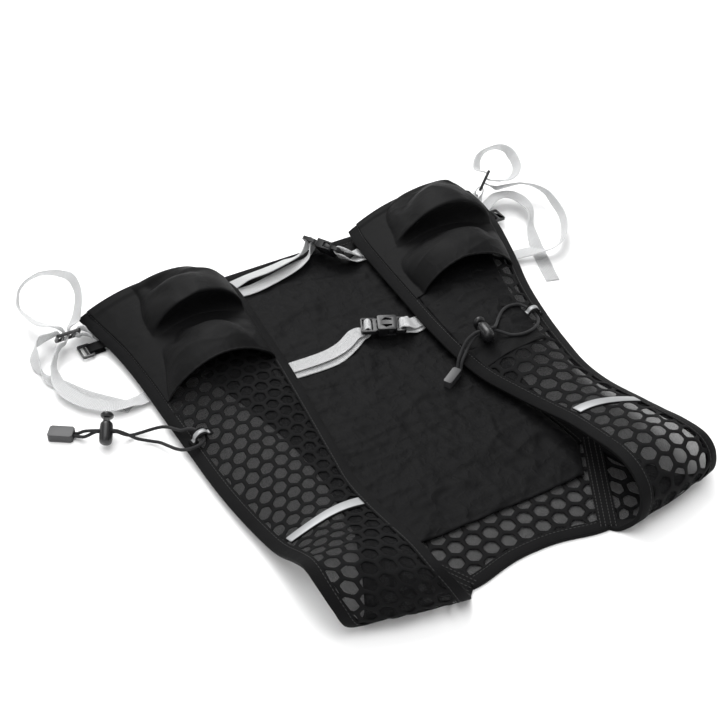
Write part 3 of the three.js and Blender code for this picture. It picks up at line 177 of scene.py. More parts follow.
def smooth_path(points, step):
    """A centripetal Catmull-Rom curve through points, as close points a step apart."""
    points = np.asarray(points, float)
    ends = [2 * points[0] - points[1], *points, 2 * points[-1] - points[-2]]
    out = []
    for p0, p1, p2, p3 in zip(ends, ends[1:], ends[2:], ends[3:]):
        times = np.cumsum([0] + [max(np.linalg.norm(b - a), 1e-9) ** 0.5
                                 for a, b in ((p0, p1), (p1, p2), (p2, p3))])
        count = max(2, int(np.ceil(np.linalg.norm(p2 - p1) / step)))
        for t in np.linspace(times[1], times[2], count, endpoint=False):
            def between(a, b, i, j):
                return (a * (times[j] - t) + b * (t - times[i])) / (times[j] - times[i])
            a, b, c = between(p0, p1, 0, 1), between(p1, p2, 1, 2), between(p2, p3, 2, 3)
            out.append(between(between(a, b, 0, 2), between(b, c, 1, 3), 1, 2))
    out.append(points[-1])
    return np.array(out)


def lengths_along(points):
    """How far along a line of points each one is."""
    steps = np.linalg.norm(np.diff(points, axis=0), axis=1)
    return np.concatenate(([0], np.cumsum(steps)))


def lofted(name, rings):
    """A closed skin through rings of points, (ring, point, xyz). Its flat map is the girth and the length."""
    rings = np.asarray(rings, float)
    count, size = rings.shape[:2]
    faces = [(i * size + j, i * size + (j + 1) % size, (i + 1) * size + (j + 1) % size, (i + 1) * size + j)
             for i in range(count - 1) for j in range(size)]
    faces += [tuple(range(size))[::-1], tuple((count - 1) * size + j for j in range(size))]
    flat = np.stack([np.tile(lengths_along(rings[0]), count), np.repeat(lengths_along(rings.mean(axis=1)), size)],
                    axis=1)
    mesh = mesh_of(name, rings.reshape(-1, 3), faces, flat)
    made = bmesh.new()
    made.from_mesh(mesh)
    bmesh.ops.recalc_face_normals(made, faces=made.faces)
    made.to_mesh(mesh)
    made.free()
    return linked(name, mesh)


def tube(name, path, width):
    """A round tube along close points."""
    sides = 12
    path = np.asarray(path, float)
    along = np.gradient(path, axis=0)
    along /= np.linalg.norm(along, axis=1)[:, None]
    side = np.cross(along[0], (0, 0, 1))
    rings = []
    for point, way in zip(path, along):
        side = side - way * side.dot(way)
        side /= np.linalg.norm(side)
        up = np.cross(way, side)
        rings.append([point + width / 2 * (side * math.cos(a) + up * math.sin(a))
                      for a in np.linspace(0, 2 * math.pi, sides, endpoint=False)])
    return lofted(name, rings)


def finished(piece, node=None, *, body="vest", material=None):
    """Gives a piece its material and the body it rides on, and hides the node it stands for."""
    if material:
        piece.data.materials.clear()
        piece.data.materials.append(material)
    if node:
        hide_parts(node)
    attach(piece, body)
    return piece


def node_group(name, inputs, outputs):
    """A new shader group with these sockets, and its two ends."""
    tree = bpy.data.node_groups.new(name, "ShaderNodeTree")
    for label, kind, value in inputs:
        socket = tree.interface.new_socket(name=label, in_out="INPUT", socket_type=kind)
        if value is not None:
            socket.default_value = value
    for label, kind in outputs:
        tree.interface.new_socket(name=label, in_out="OUTPUT", socket_type=kind)
    return tree, tree.nodes.new("NodeGroupInput"), tree.nodes.new("NodeGroupOutput")


def new_node(tree, kind, values=None, **settings):
    """A node with its settings, and its inputs by name: a socket is linked, a value is set."""
    made = tree.nodes.new(kind)
    for key, value in settings.items():
        setattr(made, key, value)
    for key, value in (values or {}).items():
        if isinstance(value, bpy.types.NodeSocket):
            tree.links.new(value, made.inputs[key])
        else:
            made.inputs[key].default_value = value
    return made


def maths(tree, operation, *values):
    """A Math node's result. Each value is a socket or a number."""
    return new_node(tree, "ShaderNodeMath", dict(enumerate(values)), operation=operation).outputs[0]


FLOAT, VECTOR, COLOUR = "NodeSocketFloat", "NodeSocketVector", "NodeSocketColor"

# Threads that cross at right angles, as a height and a painted shade. Each pitch is from one thread to the next,
# in metres.
weave, start, end = node_group(
    "weave", [("Flat", VECTOR, None), ("Pitch Across", FLOAT, 0.001), ("Pitch Along", FLOAT, 0.001)],
    [("Height", FLOAT), ("Shade", FLOAT)])
parts = new_node(weave, "ShaderNodeSeparateXYZ", {0: start.outputs["Flat"]})
waves = []
for axis, pitch in ((0, "Pitch Across"), (1, "Pitch Along")):
    turns = maths(weave, "DIVIDE", parts.outputs[axis], start.outputs[pitch])
    waves.append(maths(weave, "ABSOLUTE", maths(weave, "SINE", maths(weave, "MULTIPLY", turns, math.pi))))
height = maths(weave, "MULTIPLY", *waves)
# The Shade output is painted shade: dark in the gaps between the threads, where shade falls, and light on top of
# them.
weave.links.new(height, end.inputs["Height"])
weave.links.new(maths(weave, "ADD", maths(weave, "MULTIPLY", height, 0.45), 0.72), end.inputs["Shade"])

# Slow light and dark patches and a fine fleck over a cloth.
wear, start, end = node_group(
    "wear", [("Place", VECTOR, None), ("Dark", COLOUR, (0, 0, 0, 1)), ("Light", COLOUR, (1, 1, 1, 1)),
             ("Patch Scale", FLOAT, 20.0), ("Fleck Scale", FLOAT, 900.0)],
    [("Color", COLOUR), ("Height", FLOAT)])
patches, flecks = (new_node(wear, "ShaderNodeTexNoise", {
    "Vector": start.outputs["Place"], "Scale": start.outputs[scale], "Detail": detail})
    for scale, detail in (("Patch Scale", 3), ("Fleck Scale", 1)))
share = maths(wear, "ADD", maths(wear, "MULTIPLY", patches.outputs["Fac"], 0.65),
              maths(wear, "MULTIPLY", flecks.outputs["Fac"], 0.35))
blend = new_node(wear, "ShaderNodeMix", {
    "Factor": share, "A": start.outputs["Dark"], "B": start.outputs["Light"]}, data_type="RGBA")
wear.links.new(blend.outputs["Result"], end.inputs["Color"])
wear.links.new(share, end.inputs["Height"])


def placed_group(material, tree, place, **values):
    """A shader group in a material, its first input fed by the flat UV map or the Object coordinates."""
    nodes, links = material.node_tree.nodes, material.node_tree.links
    made = nodes.new("ShaderNodeGroup")
    made.node_tree = tree
    if place == "uv":
        source = nodes.new("ShaderNodeUVMap")
        source.uv_map = "flat"
        links.new(source.outputs[0], made.inputs[0])
    else:
        source = nodes.new("ShaderNodeTexCoord")
        links.new(source.outputs["Object"], made.inputs[0])
    for label, value in values.items():
        made.inputs[label.replace("_", " ")].default_value = value
    return made


def bump(material, shader, height, distance):
    """Feeds a height into the shader's normal. distance is the height's size in metres."""
    made = new_node(material.node_tree, "ShaderNodeBump", {"Height": height, "Distance": distance, "Strength": 1})
    material.node_tree.links.new(made.outputs["Normal"], shader.inputs["Normal"])


def woven(name, dark, light, pitch, depth, roughness, sheen, specular, patch=20.0):
    """A cloth or tape of crossed threads. pitch is across and along and depth is the threads', in metres."""
    material, shader = principled(name, light, roughness, sheen, specular)
    threads = placed_group(material, weave, "uv", Pitch_Across=pitch[0], Pitch_Along=pitch[1])
    shades = placed_group(material, wear, "object", Dark=(*dark, 1), Light=(*light, 1), Patch_Scale=patch)
    # The cloth's colour is multiplied by the weave's painted shade, darker in the gaps between the threads.
    mixed = new_node(material.node_tree, "ShaderNodeMix", {
        "Factor": 1, "A": shades.outputs["Color"], "B": threads.outputs["Shade"]},
        data_type="RGBA", blend_type="MULTIPLY")
    material.node_tree.links.new(mixed.outputs["Result"], shader.inputs["Base Color"])
    bump(material, shader, threads.outputs["Height"], depth)
    return material


braid = woven("elastic_braid", (0.008, 0.008, 0.009), (0.03, 0.03, 0.031), pitch=(0.0011, 0.0009),
              depth=0.00012, roughness=0.7, sheen=0.05, patch=120.0, specular=0.2)
for side, (out, loop, back) in cord_stretches.items():
    points = (run_in(toggle_frames[side], toggle_steps, 1) + out + run_in(lock_frames[side], lock_steps, -1)
              + loop + run_in(lock_frames[side], lock_steps[::-1], 1) + back
              + run_in(toggle_frames[side], toggle_steps[::-1], -1))
    path = smooth_path(points, cord_step)
    cord = finished(tube(f"cord_{side}", path, cord_width), f"elastic_cord_{side}",
                    material=braid)

# Toggles, cord locks and buttons
# Moulded pieces on the cords: a soft block that closes each cord's two ends, and a lock whose button is
# pushed in against a spring. The blocks have rounded edges, and the locks and buttons are round lobes.

weld = 2e-6  # corners of a solid's mesh that are closer than this are one
slack = 1e-5  # how far off its level a corner may be


def rounded(name, node, radius, segments, angle=30):
    """A copy of a node's solid with its edges rounded."""
    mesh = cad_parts[node].data.copy()
    mesh.name = name
    made = bmesh.new()
    made.from_mesh(mesh)
    bmesh.ops.remove_doubles(made, verts=made.verts, dist=weld)
    bmesh.ops.dissolve_limit(made, angle_limit=math.radians(2), verts=made.verts, edges=made.edges)
    made.to_mesh(mesh)
    made.free()
    mesh.materials.clear()
    piece = linked(name, mesh)
    edge = piece.modifiers.new("edge", "BEVEL")
    edge.width = radius
    edge.segments = segments
    edge.limit_method = "ANGLE"
    edge.angle_limit = math.radians(angle)
    edge.harden_normals = True
    mesh.polygons.foreach_set("use_smooth", [True] * len(mesh.polygons))
    return piece


def moulded(name, dark, light, roughness):
    """A moulded plastic or rubber with a fine grain."""
    material, shader = principled(name, light, roughness)
    shades = placed_group(material, wear, "object", Dark=(*dark, 1), Light=(*light, 1), Patch_Scale=90.0,
                          Fleck_Scale=1800.0)
    material.node_tree.links.new(shades.outputs["Color"], shader.inputs["Base Color"])
    bump(material, shader, shades.outputs["Height"], 0.00006)
    return material


black_nylon = moulded("black_nylon", (0.003, 0.003, 0.0035), (0.01, 0.01, 0.011), 0.36)
toggle_rubber = {side: moulded(f"toggle_rubber_{side}", (0.02, 0.02, 0.021), (0.045, 0.045, 0.047), roughness)
                 for side, roughness in (("left", 0.5), ("right", 0.4))}
toggle_widths = {"left": 1.0, "right": 0.6}  # as shares of the solid's width

lock_half = (0.005, 0.00625)  # half a lock's width, along the cords and across them
# How a lock's body and its button's head swell along the push, as metres from the lock's middle and
# shares of the solid's own section.
lock_swell = {"lock": ((-0.01, 0.55), (-0.0092, 0.8), (-0.0078, 0.94), (-0.005, 1), (0.002, 1), (0.0045, 0.96),
                       (0.006, 0.86), (0.0068, 0.72), (0.007, 0.66)),
              "lock_button": ((0.0098, 0.62), (0.0102, 0.8), (0.011, 0.94), (0.0122, 1), (0.0132, 0.92),
                              (0.0139, 0.78), (0.0144, 0.5))}


def lobed(piece, side, swell):
    """Turns the straight oval of a lock or its button into a round lobe."""
    mesh = piece.data
    made = bmesh.new()
    made.from_mesh(mesh)
    made.transform(lock_frames[side].inverted())
    for level, _ in swell:
        bmesh.ops.bisect_plane(made, geom=made.verts[:] + made.edges[:] + made.faces[:], plane_co=(0, 0, level),
                               plane_no=(0, 0, 1), dist=slack)
    for vertex in made.verts:
        x, y, z = vertex.co
        on_outside = math.hypot(x / lock_half[0], y / lock_half[1]) > 0.9
        if on_outside and swell[0][0] - slack < z < swell[-1][0] + slack:
            share = float(np.interp(z, *zip(*swell)))
            vertex.co = (x * share, y * share, z)
    made.transform(lock_frames[side])
    made.to_mesh(mesh)
    made.free()
    return piece


for side in ("left", "right"):
    toggle = rounded(f"toggle_{side}", f"cord_toggle_{side}", 0.0015, 4)
    slim = Matrix.Diagonal((1, toggle_widths[side], 1, 1))
    toggle.data.transform(toggle_frames[side] @ slim @ toggle_frames[side].inverted())
    finished(toggle, f"cord_toggle_{side}", material=toggle_rubber[side])
    for piece, body in (("lock", "vest"), ("lock_button", f"lock_button_{side}")):
        node = f"cord_{piece}_{side}"
        lobe = lobed(rounded(f"{piece}_{side}", node, 0.0003, 2, 50), side, lock_swell[piece])
        finished(lobe, node, body=body, material=black_nylon)

# Back panel
# Black polyester mesh, cut to the shape of the back: a sheer fine net with thick knitted bars in a
# honeycomb. It lies flat, and its edges rise into their bindings.

half_length = 0.2
half_span = 0.185
mesh_wall = 0.0012
binding_width = 0.009
edge_height = 0.0017  # the mesh's middle where a binding lies on the ground
net_wall = 0.0002
bar_wall = 0.0006
back_waist = half_length
back_neck = -0.92 * half_length
neck_corner = (0.297 * half_span, -0.96 * half_length)
seam_corner = (0.53 * half_span, -0.56 * half_length)
# Half the back's width from the waist to the shoulder seam, as shares of the half span.
armhole_shares = np.array([[0.746], [0.69], [0.61], [0.53], [0.5], [0.53]])


def smooth_table(rows, share):
    """Smooth curves through each column of a table whose rows are evenly spaced over 0 to 1."""
    share = np.clip(np.asarray(share, float), 0, 1)
    place = share * (len(rows) - 1)
    i = np.minimum(place.astype(int), len(rows) - 2)
    f = (place - i)[:, None]
    a, b, c, d = (rows[np.clip(i + k, 0, len(rows) - 1)] for k in (-1, 0, 1, 2))
    return b + 0.5 * f * (c - a + f * (2 * a - 5 * b + 4 * c - d + f * (3 * (b - c) + d - a)))


def smooth_step(x):
    """0 to 1 with no corner at either end."""
    x = np.clip(x, 0, 1)
    return x * x * (3 - 2 * x)


def back_half_width(y):
    """Half the back panel's width at y."""
    y = np.asarray(y, float)
    along = (back_waist - y) / (back_waist - seam_corner[1])
    below = smooth_table(armhole_shares, along)[:, 0] * half_span
    f = (seam_corner[1] - y) / (seam_corner[1] - neck_corner[1])
    return np.where(y > seam_corner[1], below, seam_corner[0] + (neck_corner[0] - seam_corner[0]) * f)


def neck_y(x):
    """The neck edge's y at x: it dips from its middle to the shoulder seams."""
    return back_neck + (neck_corner[1] - back_neck) * smooth_step(np.abs(x) / neck_corner[0]) ** 1.5


def grid_faces(rows, columns, turned):
    """The four-sided faces between the points of a grid, turned over if need be."""
    faces = [(i * columns + j, i * columns + j + 1, (i + 1) * columns + j + 1, (i + 1) * columns + j)
             for i in range(rows - 1) for j in range(columns - 1)]
    return [face[::-1] for face in faces] if turned else faces


def back_sheet(name, rows, columns, height):
    """The back panel's surface: rows from the waist to the neck, columns from -X to +X."""
    share, side = np.meshgrid(np.linspace(0, 1, rows), np.linspace(-1, 1, columns), indexing="ij")
    level = back_waist + (neck_corner[1] - back_waist) * share
    half = back_half_width(level.ravel()).reshape(level.shape)
    x = side * half
    y = level + (neck_y(x) - neck_corner[1]) * smooth_step((share - 0.8) / 0.2)
    inset = np.minimum(half - np.abs(x), np.minimum(back_waist - y, (y - neck_y(x)) * 0.9))
    rise = 1 - smooth_step(inset / (binding_width + 0.002))
    z = mesh_wall / 2 + (edge_height - mesh_wall / 2) * rise + height
    points = np.stack([x, y, z], axis=-1).reshape(-1, 3)
    flat = np.stack([x, y], axis=-1).reshape(-1, 2)
    return linked(name, mesh_of(name, points, grid_faces(rows, columns, True), flat))


# The fine net is finer than a render shows: threads of 0.25 mm every 0.8 mm, as a see-through pattern.
net_cloth, net_shader = principled("fine_net", (0.006, 0.006, 0.0064), 0.75, 0, 0.1)
net_tree = net_cloth.node_tree
net_threads = placed_group(net_cloth, weave, "uv", Pitch_Across=0.0008, Pitch_Along=0.0008)
net_cover = maths(net_tree, "ADD", maths(net_tree, "MULTIPLY", net_threads.outputs["Height"], -0.5), 0.74)
net_tree.links.new(net_cover, net_shader.inputs["Alpha"])
knit_bars = woven("knit_bars", (0.002, 0.002, 0.0022), (0.007, 0.007, 0.0074), pitch=(0.0009, 0.0013),
                  depth=0.00015, roughness=0.75, sheen=0.01, specular=0.09)


def socket_of(tree, name, kind, value=None):
    """Adds a named input to a Geometry Nodes tree, and gives its identifier."""
    made = tree.interface.new_socket(name=name, in_out="INPUT", socket_type=kind)
    if value is not None:
        made.default_value = value
    return made.identifier


# Honeycomb: rings of a hexagonal cell are set out on a flat grid, and each point is then carried to the
# cloth's surface by the cloth's own flat map. Cells that fall off the cloth are dropped.
comb = bpy.data.node_groups.new("honeycomb", "GeometryNodeTree")
comb.interface.new_socket(name="Cloth", in_out="INPUT", socket_type="NodeSocketGeometry")
comb_pitch = socket_of(comb, "Pitch", "NodeSocketFloat", 0.014)
comb_window = socket_of(comb, "Window Share", "NodeSocketFloat", 0.78)
comb_rise = socket_of(comb, "Rise", "NodeSocketFloat", 0.0005)
comb_low = socket_of(comb, "Low Corner", "NodeSocketVector")
comb_columns = socket_of(comb, "Columns", "NodeSocketInt", 10)
comb_rows = socket_of(comb, "Rows", "NodeSocketInt", 10)
comb_material = socket_of(comb, "Material", "NodeSocketMaterial")
comb.interface.new_socket(name="Net", in_out="OUTPUT", socket_type="NodeSocketGeometry")


start = comb.nodes.new("NodeGroupInput")
end = comb.nodes.new("NodeGroupOutput")
# One cell: a ring between the cell's edge and its window, both with 24 points.
outer = new_node(comb, "GeometryNodeMeshCircle", {"Vertices": 24, "Radius": 1.0}, fill_type="NONE")
spot = new_node(comb, "GeometryNodeInputPosition").outputs[0]
parts = new_node(comb, "ShaderNodeSeparateXYZ", {0: spot})
angle = maths(comb, "ARCTAN2", parts.outputs[1], parts.outputs[0])
sixth = math.pi / 3
turn = maths(comb, "SUBTRACT", maths(comb, "MODULO", maths(comb, "ADD", angle, 12.5 * sixth), sixth), sixth / 2)
to_edge = maths(comb, "DIVIDE", 0.5, maths(comb, "COSINE", turn))
hexagon = new_node(comb, "GeometryNodeSetPosition", {
    "Geometry": outer.outputs["Mesh"],
    "Position": new_node(comb, "ShaderNodeVectorMath", {0: spot, "Scale": to_edge},
                         operation="SCALE").outputs[0]})
extruded = new_node(comb, "GeometryNodeExtrudeMesh", {
    "Mesh": hexagon.outputs[0], "Offset": (0, 0, 0), "Offset Scale": 0.0}, mode="EDGES")
round_edge = maths(comb, "MULTIPLY", maths(comb, "ADD", maths(comb, "MULTIPLY", to_edge, 0.62), 0.19),
                   start.outputs["Window Share"])
window_share = maths(comb, "DIVIDE", round_edge, to_edge)
cell = new_node(comb, "GeometryNodeSetPosition", {
    "Geometry": extruded.outputs["Mesh"], "Selection": extruded.outputs["Top"],
    "Position": new_node(comb, "ShaderNodeVectorMath", {0: spot, "Scale": window_share},
                         operation="SCALE").outputs[0]})
# The grid of cells: rows along the width, each shifted by half a cell from the last.
grid = new_node(comb, "GeometryNodeMeshGrid", {
    "Size X": 1.0, "Size Y": 1.0, "Vertices X": start.outputs["Columns"], "Vertices Y": start.outputs["Rows"]})
index = new_node(comb, "GeometryNodeInputIndex").outputs[0]
column = maths(comb, "FLOOR", maths(comb, "DIVIDE", index, start.outputs["Rows"]))
row = maths(comb, "SUBTRACT", index, maths(comb, "MULTIPLY", column, start.outputs["Rows"]))
across = maths(comb, "ADD", column, maths(comb, "MULTIPLY", maths(comb, "MODULO", row, 2.0), 0.5))
lattice = new_node(comb, "ShaderNodeCombineXYZ", {
    0: maths(comb, "MULTIPLY", across, start.outputs["Pitch"]),
    1: maths(comb, "MULTIPLY", maths(comb, "MULTIPLY", row, math.sqrt(0.75)), start.outputs["Pitch"])})
places = new_node(comb, "GeometryNodeSetPosition", {
    "Geometry": grid.outputs["Mesh"],
    "Position": new_node(comb, "ShaderNodeVectorMath", {0: lattice.outputs[0], 1: start.outputs["Low Corner"]},
                         operation="ADD").outputs[0]})
cells = new_node(comb, "GeometryNodeInstanceOnPoints", {
    "Points": places.outputs[0], "Instance": cell.outputs[0], "Scale": start.outputs["Pitch"]})
laid = new_node(comb, "GeometryNodeRealizeInstances", {0: cells.outputs[0]})
flat_store = new_node(comb, "GeometryNodeStoreNamedAttribute", {
    "Geometry": laid.outputs[0], "Name": "flat", "Value": spot}, data_type="FLOAT2", domain="CORNER")
cloth_map = new_node(comb, "GeometryNodeInputNamedAttribute", {"Name": "flat"}, data_type="FLOAT_VECTOR")
cloth_normal = new_node(comb, "GeometryNodeInputNormal").outputs[0]
lookups = [new_node(comb, "GeometryNodeSampleUVSurface", {
    "Mesh": start.outputs["Cloth"], "Value": value, "Source UV Map": cloth_map.outputs[0], "Sample UV": spot},
    data_type="FLOAT_VECTOR") for value in (spot, cloth_normal)]
raised = new_node(comb, "ShaderNodeVectorMath", {
    0: lookups[1].outputs["Value"], "Scale": start.outputs["Rise"]}, operation="SCALE")
on_cloth = new_node(comb, "ShaderNodeVectorMath", {0: lookups[0].outputs["Value"], 1: raised.outputs[0]},
                         operation="ADD")
off_cloth = new_node(comb, "FunctionNodeBooleanMath", {0: lookups[0].outputs["Is Valid"]}, operation="NOT")
kept = new_node(comb, "GeometryNodeDeleteGeometry", {
    "Geometry": flat_store.outputs[0], "Selection": off_cloth.outputs[0]}, domain="POINT")
carried = new_node(comb, "GeometryNodeSetPosition", {
    "Geometry": kept.outputs[0], "Position": on_cloth.outputs[0]})
joined = new_node(comb, "GeometryNodeMergeByDistance", {"Geometry": carried.outputs[0], "Distance": 0.0002})
painted = new_node(comb, "GeometryNodeSetMaterial", {
    "Geometry": joined.outputs[0], "Material": start.outputs["Material"]})
comb.links.new(painted.outputs[0], end.inputs[0])


def plain_mesh(piece):
    """Applies a piece's modifiers, so that it keeps a plain mesh."""
    shown = bpy.context.evaluated_depsgraph_get()
    made = bpy.data.meshes.new_from_object(piece.evaluated_get(shown), depsgraph=shown)
    piece.modifiers.clear()
    piece.data = made
    return piece


def thickened(piece, wall, offset=-1):
    """Gives a sheet its thickness, under it unless told otherwise."""
    shell = piece.modifiers.new("wall", "SOLIDIFY")
    shell.thickness = wall
    shell.offset = offset
    shell.use_even_offset = False
    return plain_mesh(piece)


def honeycomb(name, cloth, rise, pitch):
    """The thick bars of hexagon mesh over a cloth with a flat map."""
    piece = linked(name, cloth.data.copy())
    flat = np.empty(len(cloth.data.loops) * 2)
    cloth.data.uv_layers["flat"].data.foreach_get("uv", flat)
    flat = flat.reshape(-1, 2)
    low, high = flat.min(axis=0), flat.max(axis=0)
    rows = int((high[1] - low[1]) / (pitch * math.sqrt(0.75))) + 2
    columns = int((high[0] - low[0]) / pitch) + 2
    made = piece.modifiers.new("honeycomb", "NODES")
    made.node_group = comb
    for key, value in ((comb_pitch, pitch), (comb_window, 0.76), (comb_rise, rise),
                       (comb_low, (low[0], low[1], 0)), (comb_columns, columns), (comb_rows, rows),
                       (comb_material, knit_bars)):
        made[key] = value
    plain_mesh(piece)
    thickened(piece, bar_wall)
    piece.data.polygons.foreach_set("use_smooth", [True] * len(piece.data.polygons))
    soft = piece.modifiers.new("soft", "BEVEL")
    soft.width = 0.0002
    soft.segments = 1
    soft.angle_limit = math.radians(50)
    return plain_mesh(piece)


back_cloth = back_sheet("back_net", 90, 64, 0.0001)
back_bars = honeycomb("back_honeycomb", back_cloth, 0.0005, 0.0142)
thickened(back_cloth, net_wall)
finished(back_cloth, "back_panel", material=net_cloth)
finished(back_bars)

# Back sleeve
# Thin black nylon sewn over the lower three quarters of the back, for a water bladder. Its mouth faces
# the neck, and it is creased all over from being packed.

sleeve_mouth = -0.71 * half_length
sleeve_inset = binding_width + 0.0015
sleeve_lift = 0.001
sleeve_wall = 0.0008
crease_height = 0.002
layer_gap = 0.0003  # between a cloth and what lies on it
# Broad waves across the sleeve: where along it, how wide as a share of its length, and how high.
sleeve_waves = ((0.16, 0.05, 0.0011), (0.38, 0.06, 0.0008), (0.6, 0.05, 0.0012), (0.83, 0.06, 0.001))


def crease(x, y, scale, seed, sharp=0.6):
    """A field of creases over the flat cloth, 0 to 1, ridged where two slow waves of noise meet."""
    return np.array([(1 - abs(noise.noise((a / scale[0], b / scale[1], seed)))) ** 8 * sharp
                     + (1 - sharp) * noise.noise((a / scale[0] * 2.3, b / scale[1] * 2.3, seed + 7))
                     for a, b in zip(np.ravel(x), np.ravel(y))]).reshape(np.shape(x))


# Sharp little creases of thin packed cloth, as a height.
crinkle, start, end = node_group("crinkle", [("Place", VECTOR, None), ("Crease Scale", FLOAT, 70.0)],
                                 [("Height", FLOAT)])
ridges = new_node(crinkle, "ShaderNodeTexNoise", {
    "Vector": start.outputs["Place"], "Scale": start.outputs["Crease Scale"], "Detail": 3})
fold = maths(crinkle, "ABSOLUTE", maths(crinkle, "SUBTRACT", ridges.outputs["Fac"], 0.5))
crinkle.links.new(maths(crinkle, "POWER", maths(crinkle, "SUBTRACT", 1, fold), 12), end.inputs["Height"])


def creased(material, scale):
    """Adds small sharp creases, 0.3 mm high, to the bump of a woven cloth."""
    tree = material.node_tree
    relief = tree.nodes["Bump"].inputs
    creases = placed_group(material, crinkle, "object", Crease_Scale=scale)
    share = 0.0003 / relief["Distance"].default_value
    height = maths(tree, "ADD", relief["Height"].links[0].from_socket,
                   maths(tree, "MULTIPLY", creases.outputs["Height"], share))
    tree.links.new(height, relief["Height"])


share, side = np.meshgrid(np.linspace(0, 1, 150), np.linspace(-1, 1, 104), indexing="ij")
y = back_waist - sleeve_inset - share * (back_waist - sleeve_inset - sleeve_mouth)
half = back_half_width(y.ravel()).reshape(y.shape) - sleeve_inset
x = side * half
hold = 1 - side ** 4
wave = sum(high * np.exp(-(((share - at + 0.06 * side) / wide) ** 2)) for at, wide, high in sleeve_waves)
# Towards the sides and the waist the sleeve climbs to the bindings' level.
rim = np.maximum(np.abs(side) ** 3, smooth_step(1 - share * 14))
under = mesh_wall + layer_gap + rim * (edge_height - mesh_wall / 2 + net_wall)
creases = sum(high * crease(x, y, scale, seed) for high, scale, seed in (
    (1, (0.05, 0.018), 3.1), (0.6, (0.021, 0.03), 9.4), (0.35, (0.012, 0.007), 5.7)))
z = under + sleeve_lift + wave * hold + crease_height * creases * np.minimum(1, 4 * hold)
sleeve = linked("sleeve", mesh_of("sleeve", np.stack([x, y, z], -1).reshape(-1, 3),
                                  grid_faces(*x.shape, True), np.stack([x, y], -1).reshape(-1, 2)))
thickened(sleeve, sleeve_wall)
nylon = woven("sleeve_nylon", (0.0012, 0.0012, 0.0014), (0.0062, 0.0062, 0.0066), pitch=(0.0005, 0.0005),
              depth=0.00005, roughness=0.55, sheen=0.01, patch=35.0, specular=0.06)
creased(nylon, 70.0)
finished(sleeve, "back_sleeve", material=nylon)

# Bindings of the back panel
# Black woven tape, folded in half over each edge and sewn down near its inner border. The stitches are
# short black threads that sink a little into the tape.

tape_wall = 0.0008
lap = mesh_wall / 2 + layer_gap + tape_wall  # half the thickness of the folded tape
sewn_in = binding_width - 0.0018  # from the edge to the row of stitches
sewn_height = lap - 0.0003
# The folded tape's outline across the edge: how far in from the edge, and how high. The fold is round,
# and the row of stitches lies in a groove.
fold_angles = np.linspace(math.pi / 2, -math.pi / 2, 7)
tape_outline = np.array(
    [(binding_width, lap - 0.0002), (binding_width - 0.0012, lap), (sewn_in, lap - 0.0004),
     (binding_width - 0.003, lap), (0.004, lap)]
    + [(-0.0003 - lap * 0.45 * math.cos(a), lap * math.sin(a)) for a in fold_angles]
    + [(0.004, -lap), (binding_width, -lap), (binding_width, -lap + tape_wall), (-0.0001, -lap + tape_wall),
       (-0.0001, lap - tape_wall), (binding_width, lap - tape_wall)])
binding_tape = woven("binding_tape", (0.002, 0.002, 0.0022), (0.007, 0.007, 0.0074), pitch=(0.0007, 0.0011),
                     depth=0.00015, roughness=0.7, sheen=0.01, patch=60.0, specular=0.08)
thread_black = moulded("sewing_thread", (0.014, 0.014, 0.014), (0.03, 0.03, 0.03), 0.6)

# Stitches: a run of short threads along a curve, each a small spindle that points along it.
sewing = bpy.data.node_groups.new("stitches", "GeometryNodeTree")
sewing.interface.new_socket(name="Line", in_out="INPUT", socket_type="NodeSocketGeometry")
sewing_pitch = socket_of(sewing, "Pitch", "NodeSocketFloat", 0.0028)
sewing_length = socket_of(sewing, "Stitch Length", "NodeSocketFloat", 0.0019)
sewing_width = socket_of(sewing, "Thread Width", "NodeSocketFloat", 0.0004)
sewing_material = socket_of(sewing, "Material", "NodeSocketMaterial")
sewing.interface.new_socket(name="Stitches", in_out="OUTPUT", socket_type="NodeSocketGeometry")
start = sewing.nodes.new("NodeGroupInput")
end = sewing.nodes.new("NodeGroupOutput")
line = new_node(sewing, "GeometryNodeMeshToCurve", {0: start.outputs["Line"]})
spaced = new_node(sewing, "GeometryNodeResampleCurve",
                       {"Curve": line.outputs[0], "Length": start.outputs["Pitch"]}, mode="LENGTH")
tangent = new_node(sewing, "GeometryNodeInputTangent").outputs[0]
facing = new_node(sewing, "FunctionNodeAlignRotationToVector", {"Vector": tangent}, axis="Z")
spindle = new_node(sewing, "GeometryNodeMeshUVSphere", {"Segments": 6, "Rings": 4, "Radius": 0.5})
size = new_node(sewing, "ShaderNodeCombineXYZ", {
    0: start.outputs["Thread Width"], 1: start.outputs["Thread Width"], 2: start.outputs["Stitch Length"]})
threads = new_node(sewing, "GeometryNodeInstanceOnPoints", {
    "Points": spaced.outputs[0], "Instance": spindle.outputs["Mesh"], "Rotation": facing.outputs[0],
    "Scale": size.outputs[0]})
laid = new_node(sewing, "GeometryNodeRealizeInstances", {0: threads.outputs[0]})
painted = new_node(sewing, "GeometryNodeSetMaterial", {
    "Geometry": laid.outputs[0], "Material": start.outputs["Material"]})
sewing.links.new(painted.outputs[0], end.inputs[0])


def stitched(name, lines):
    """Runs of stitches along lines of points, as one piece."""
    mesh = bpy.data.meshes.new(name)
    points = [tuple(point) for line in lines for point in line]
    edges = []
    first = 0
    for line in lines:
        edges += [(first + i, first + i + 1) for i in range(len(line) - 1)]
        first += len(line)
    mesh.from_pydata(points, edges, [])
    piece = linked(name, mesh)
    made = piece.modifiers.new("stitches", "NODES")
    made.node_group = sewing
    for key, value in ((sewing_pitch, 0.003), (sewing_length, 0.0023), (sewing_width, 0.0006),
                       (sewing_material, thread_black)):
        made[key] = value
    plain_mesh(piece)
    piece.data.polygons.foreach_set("use_smooth", [True] * len(piece.data.polygons))
    finished(piece)


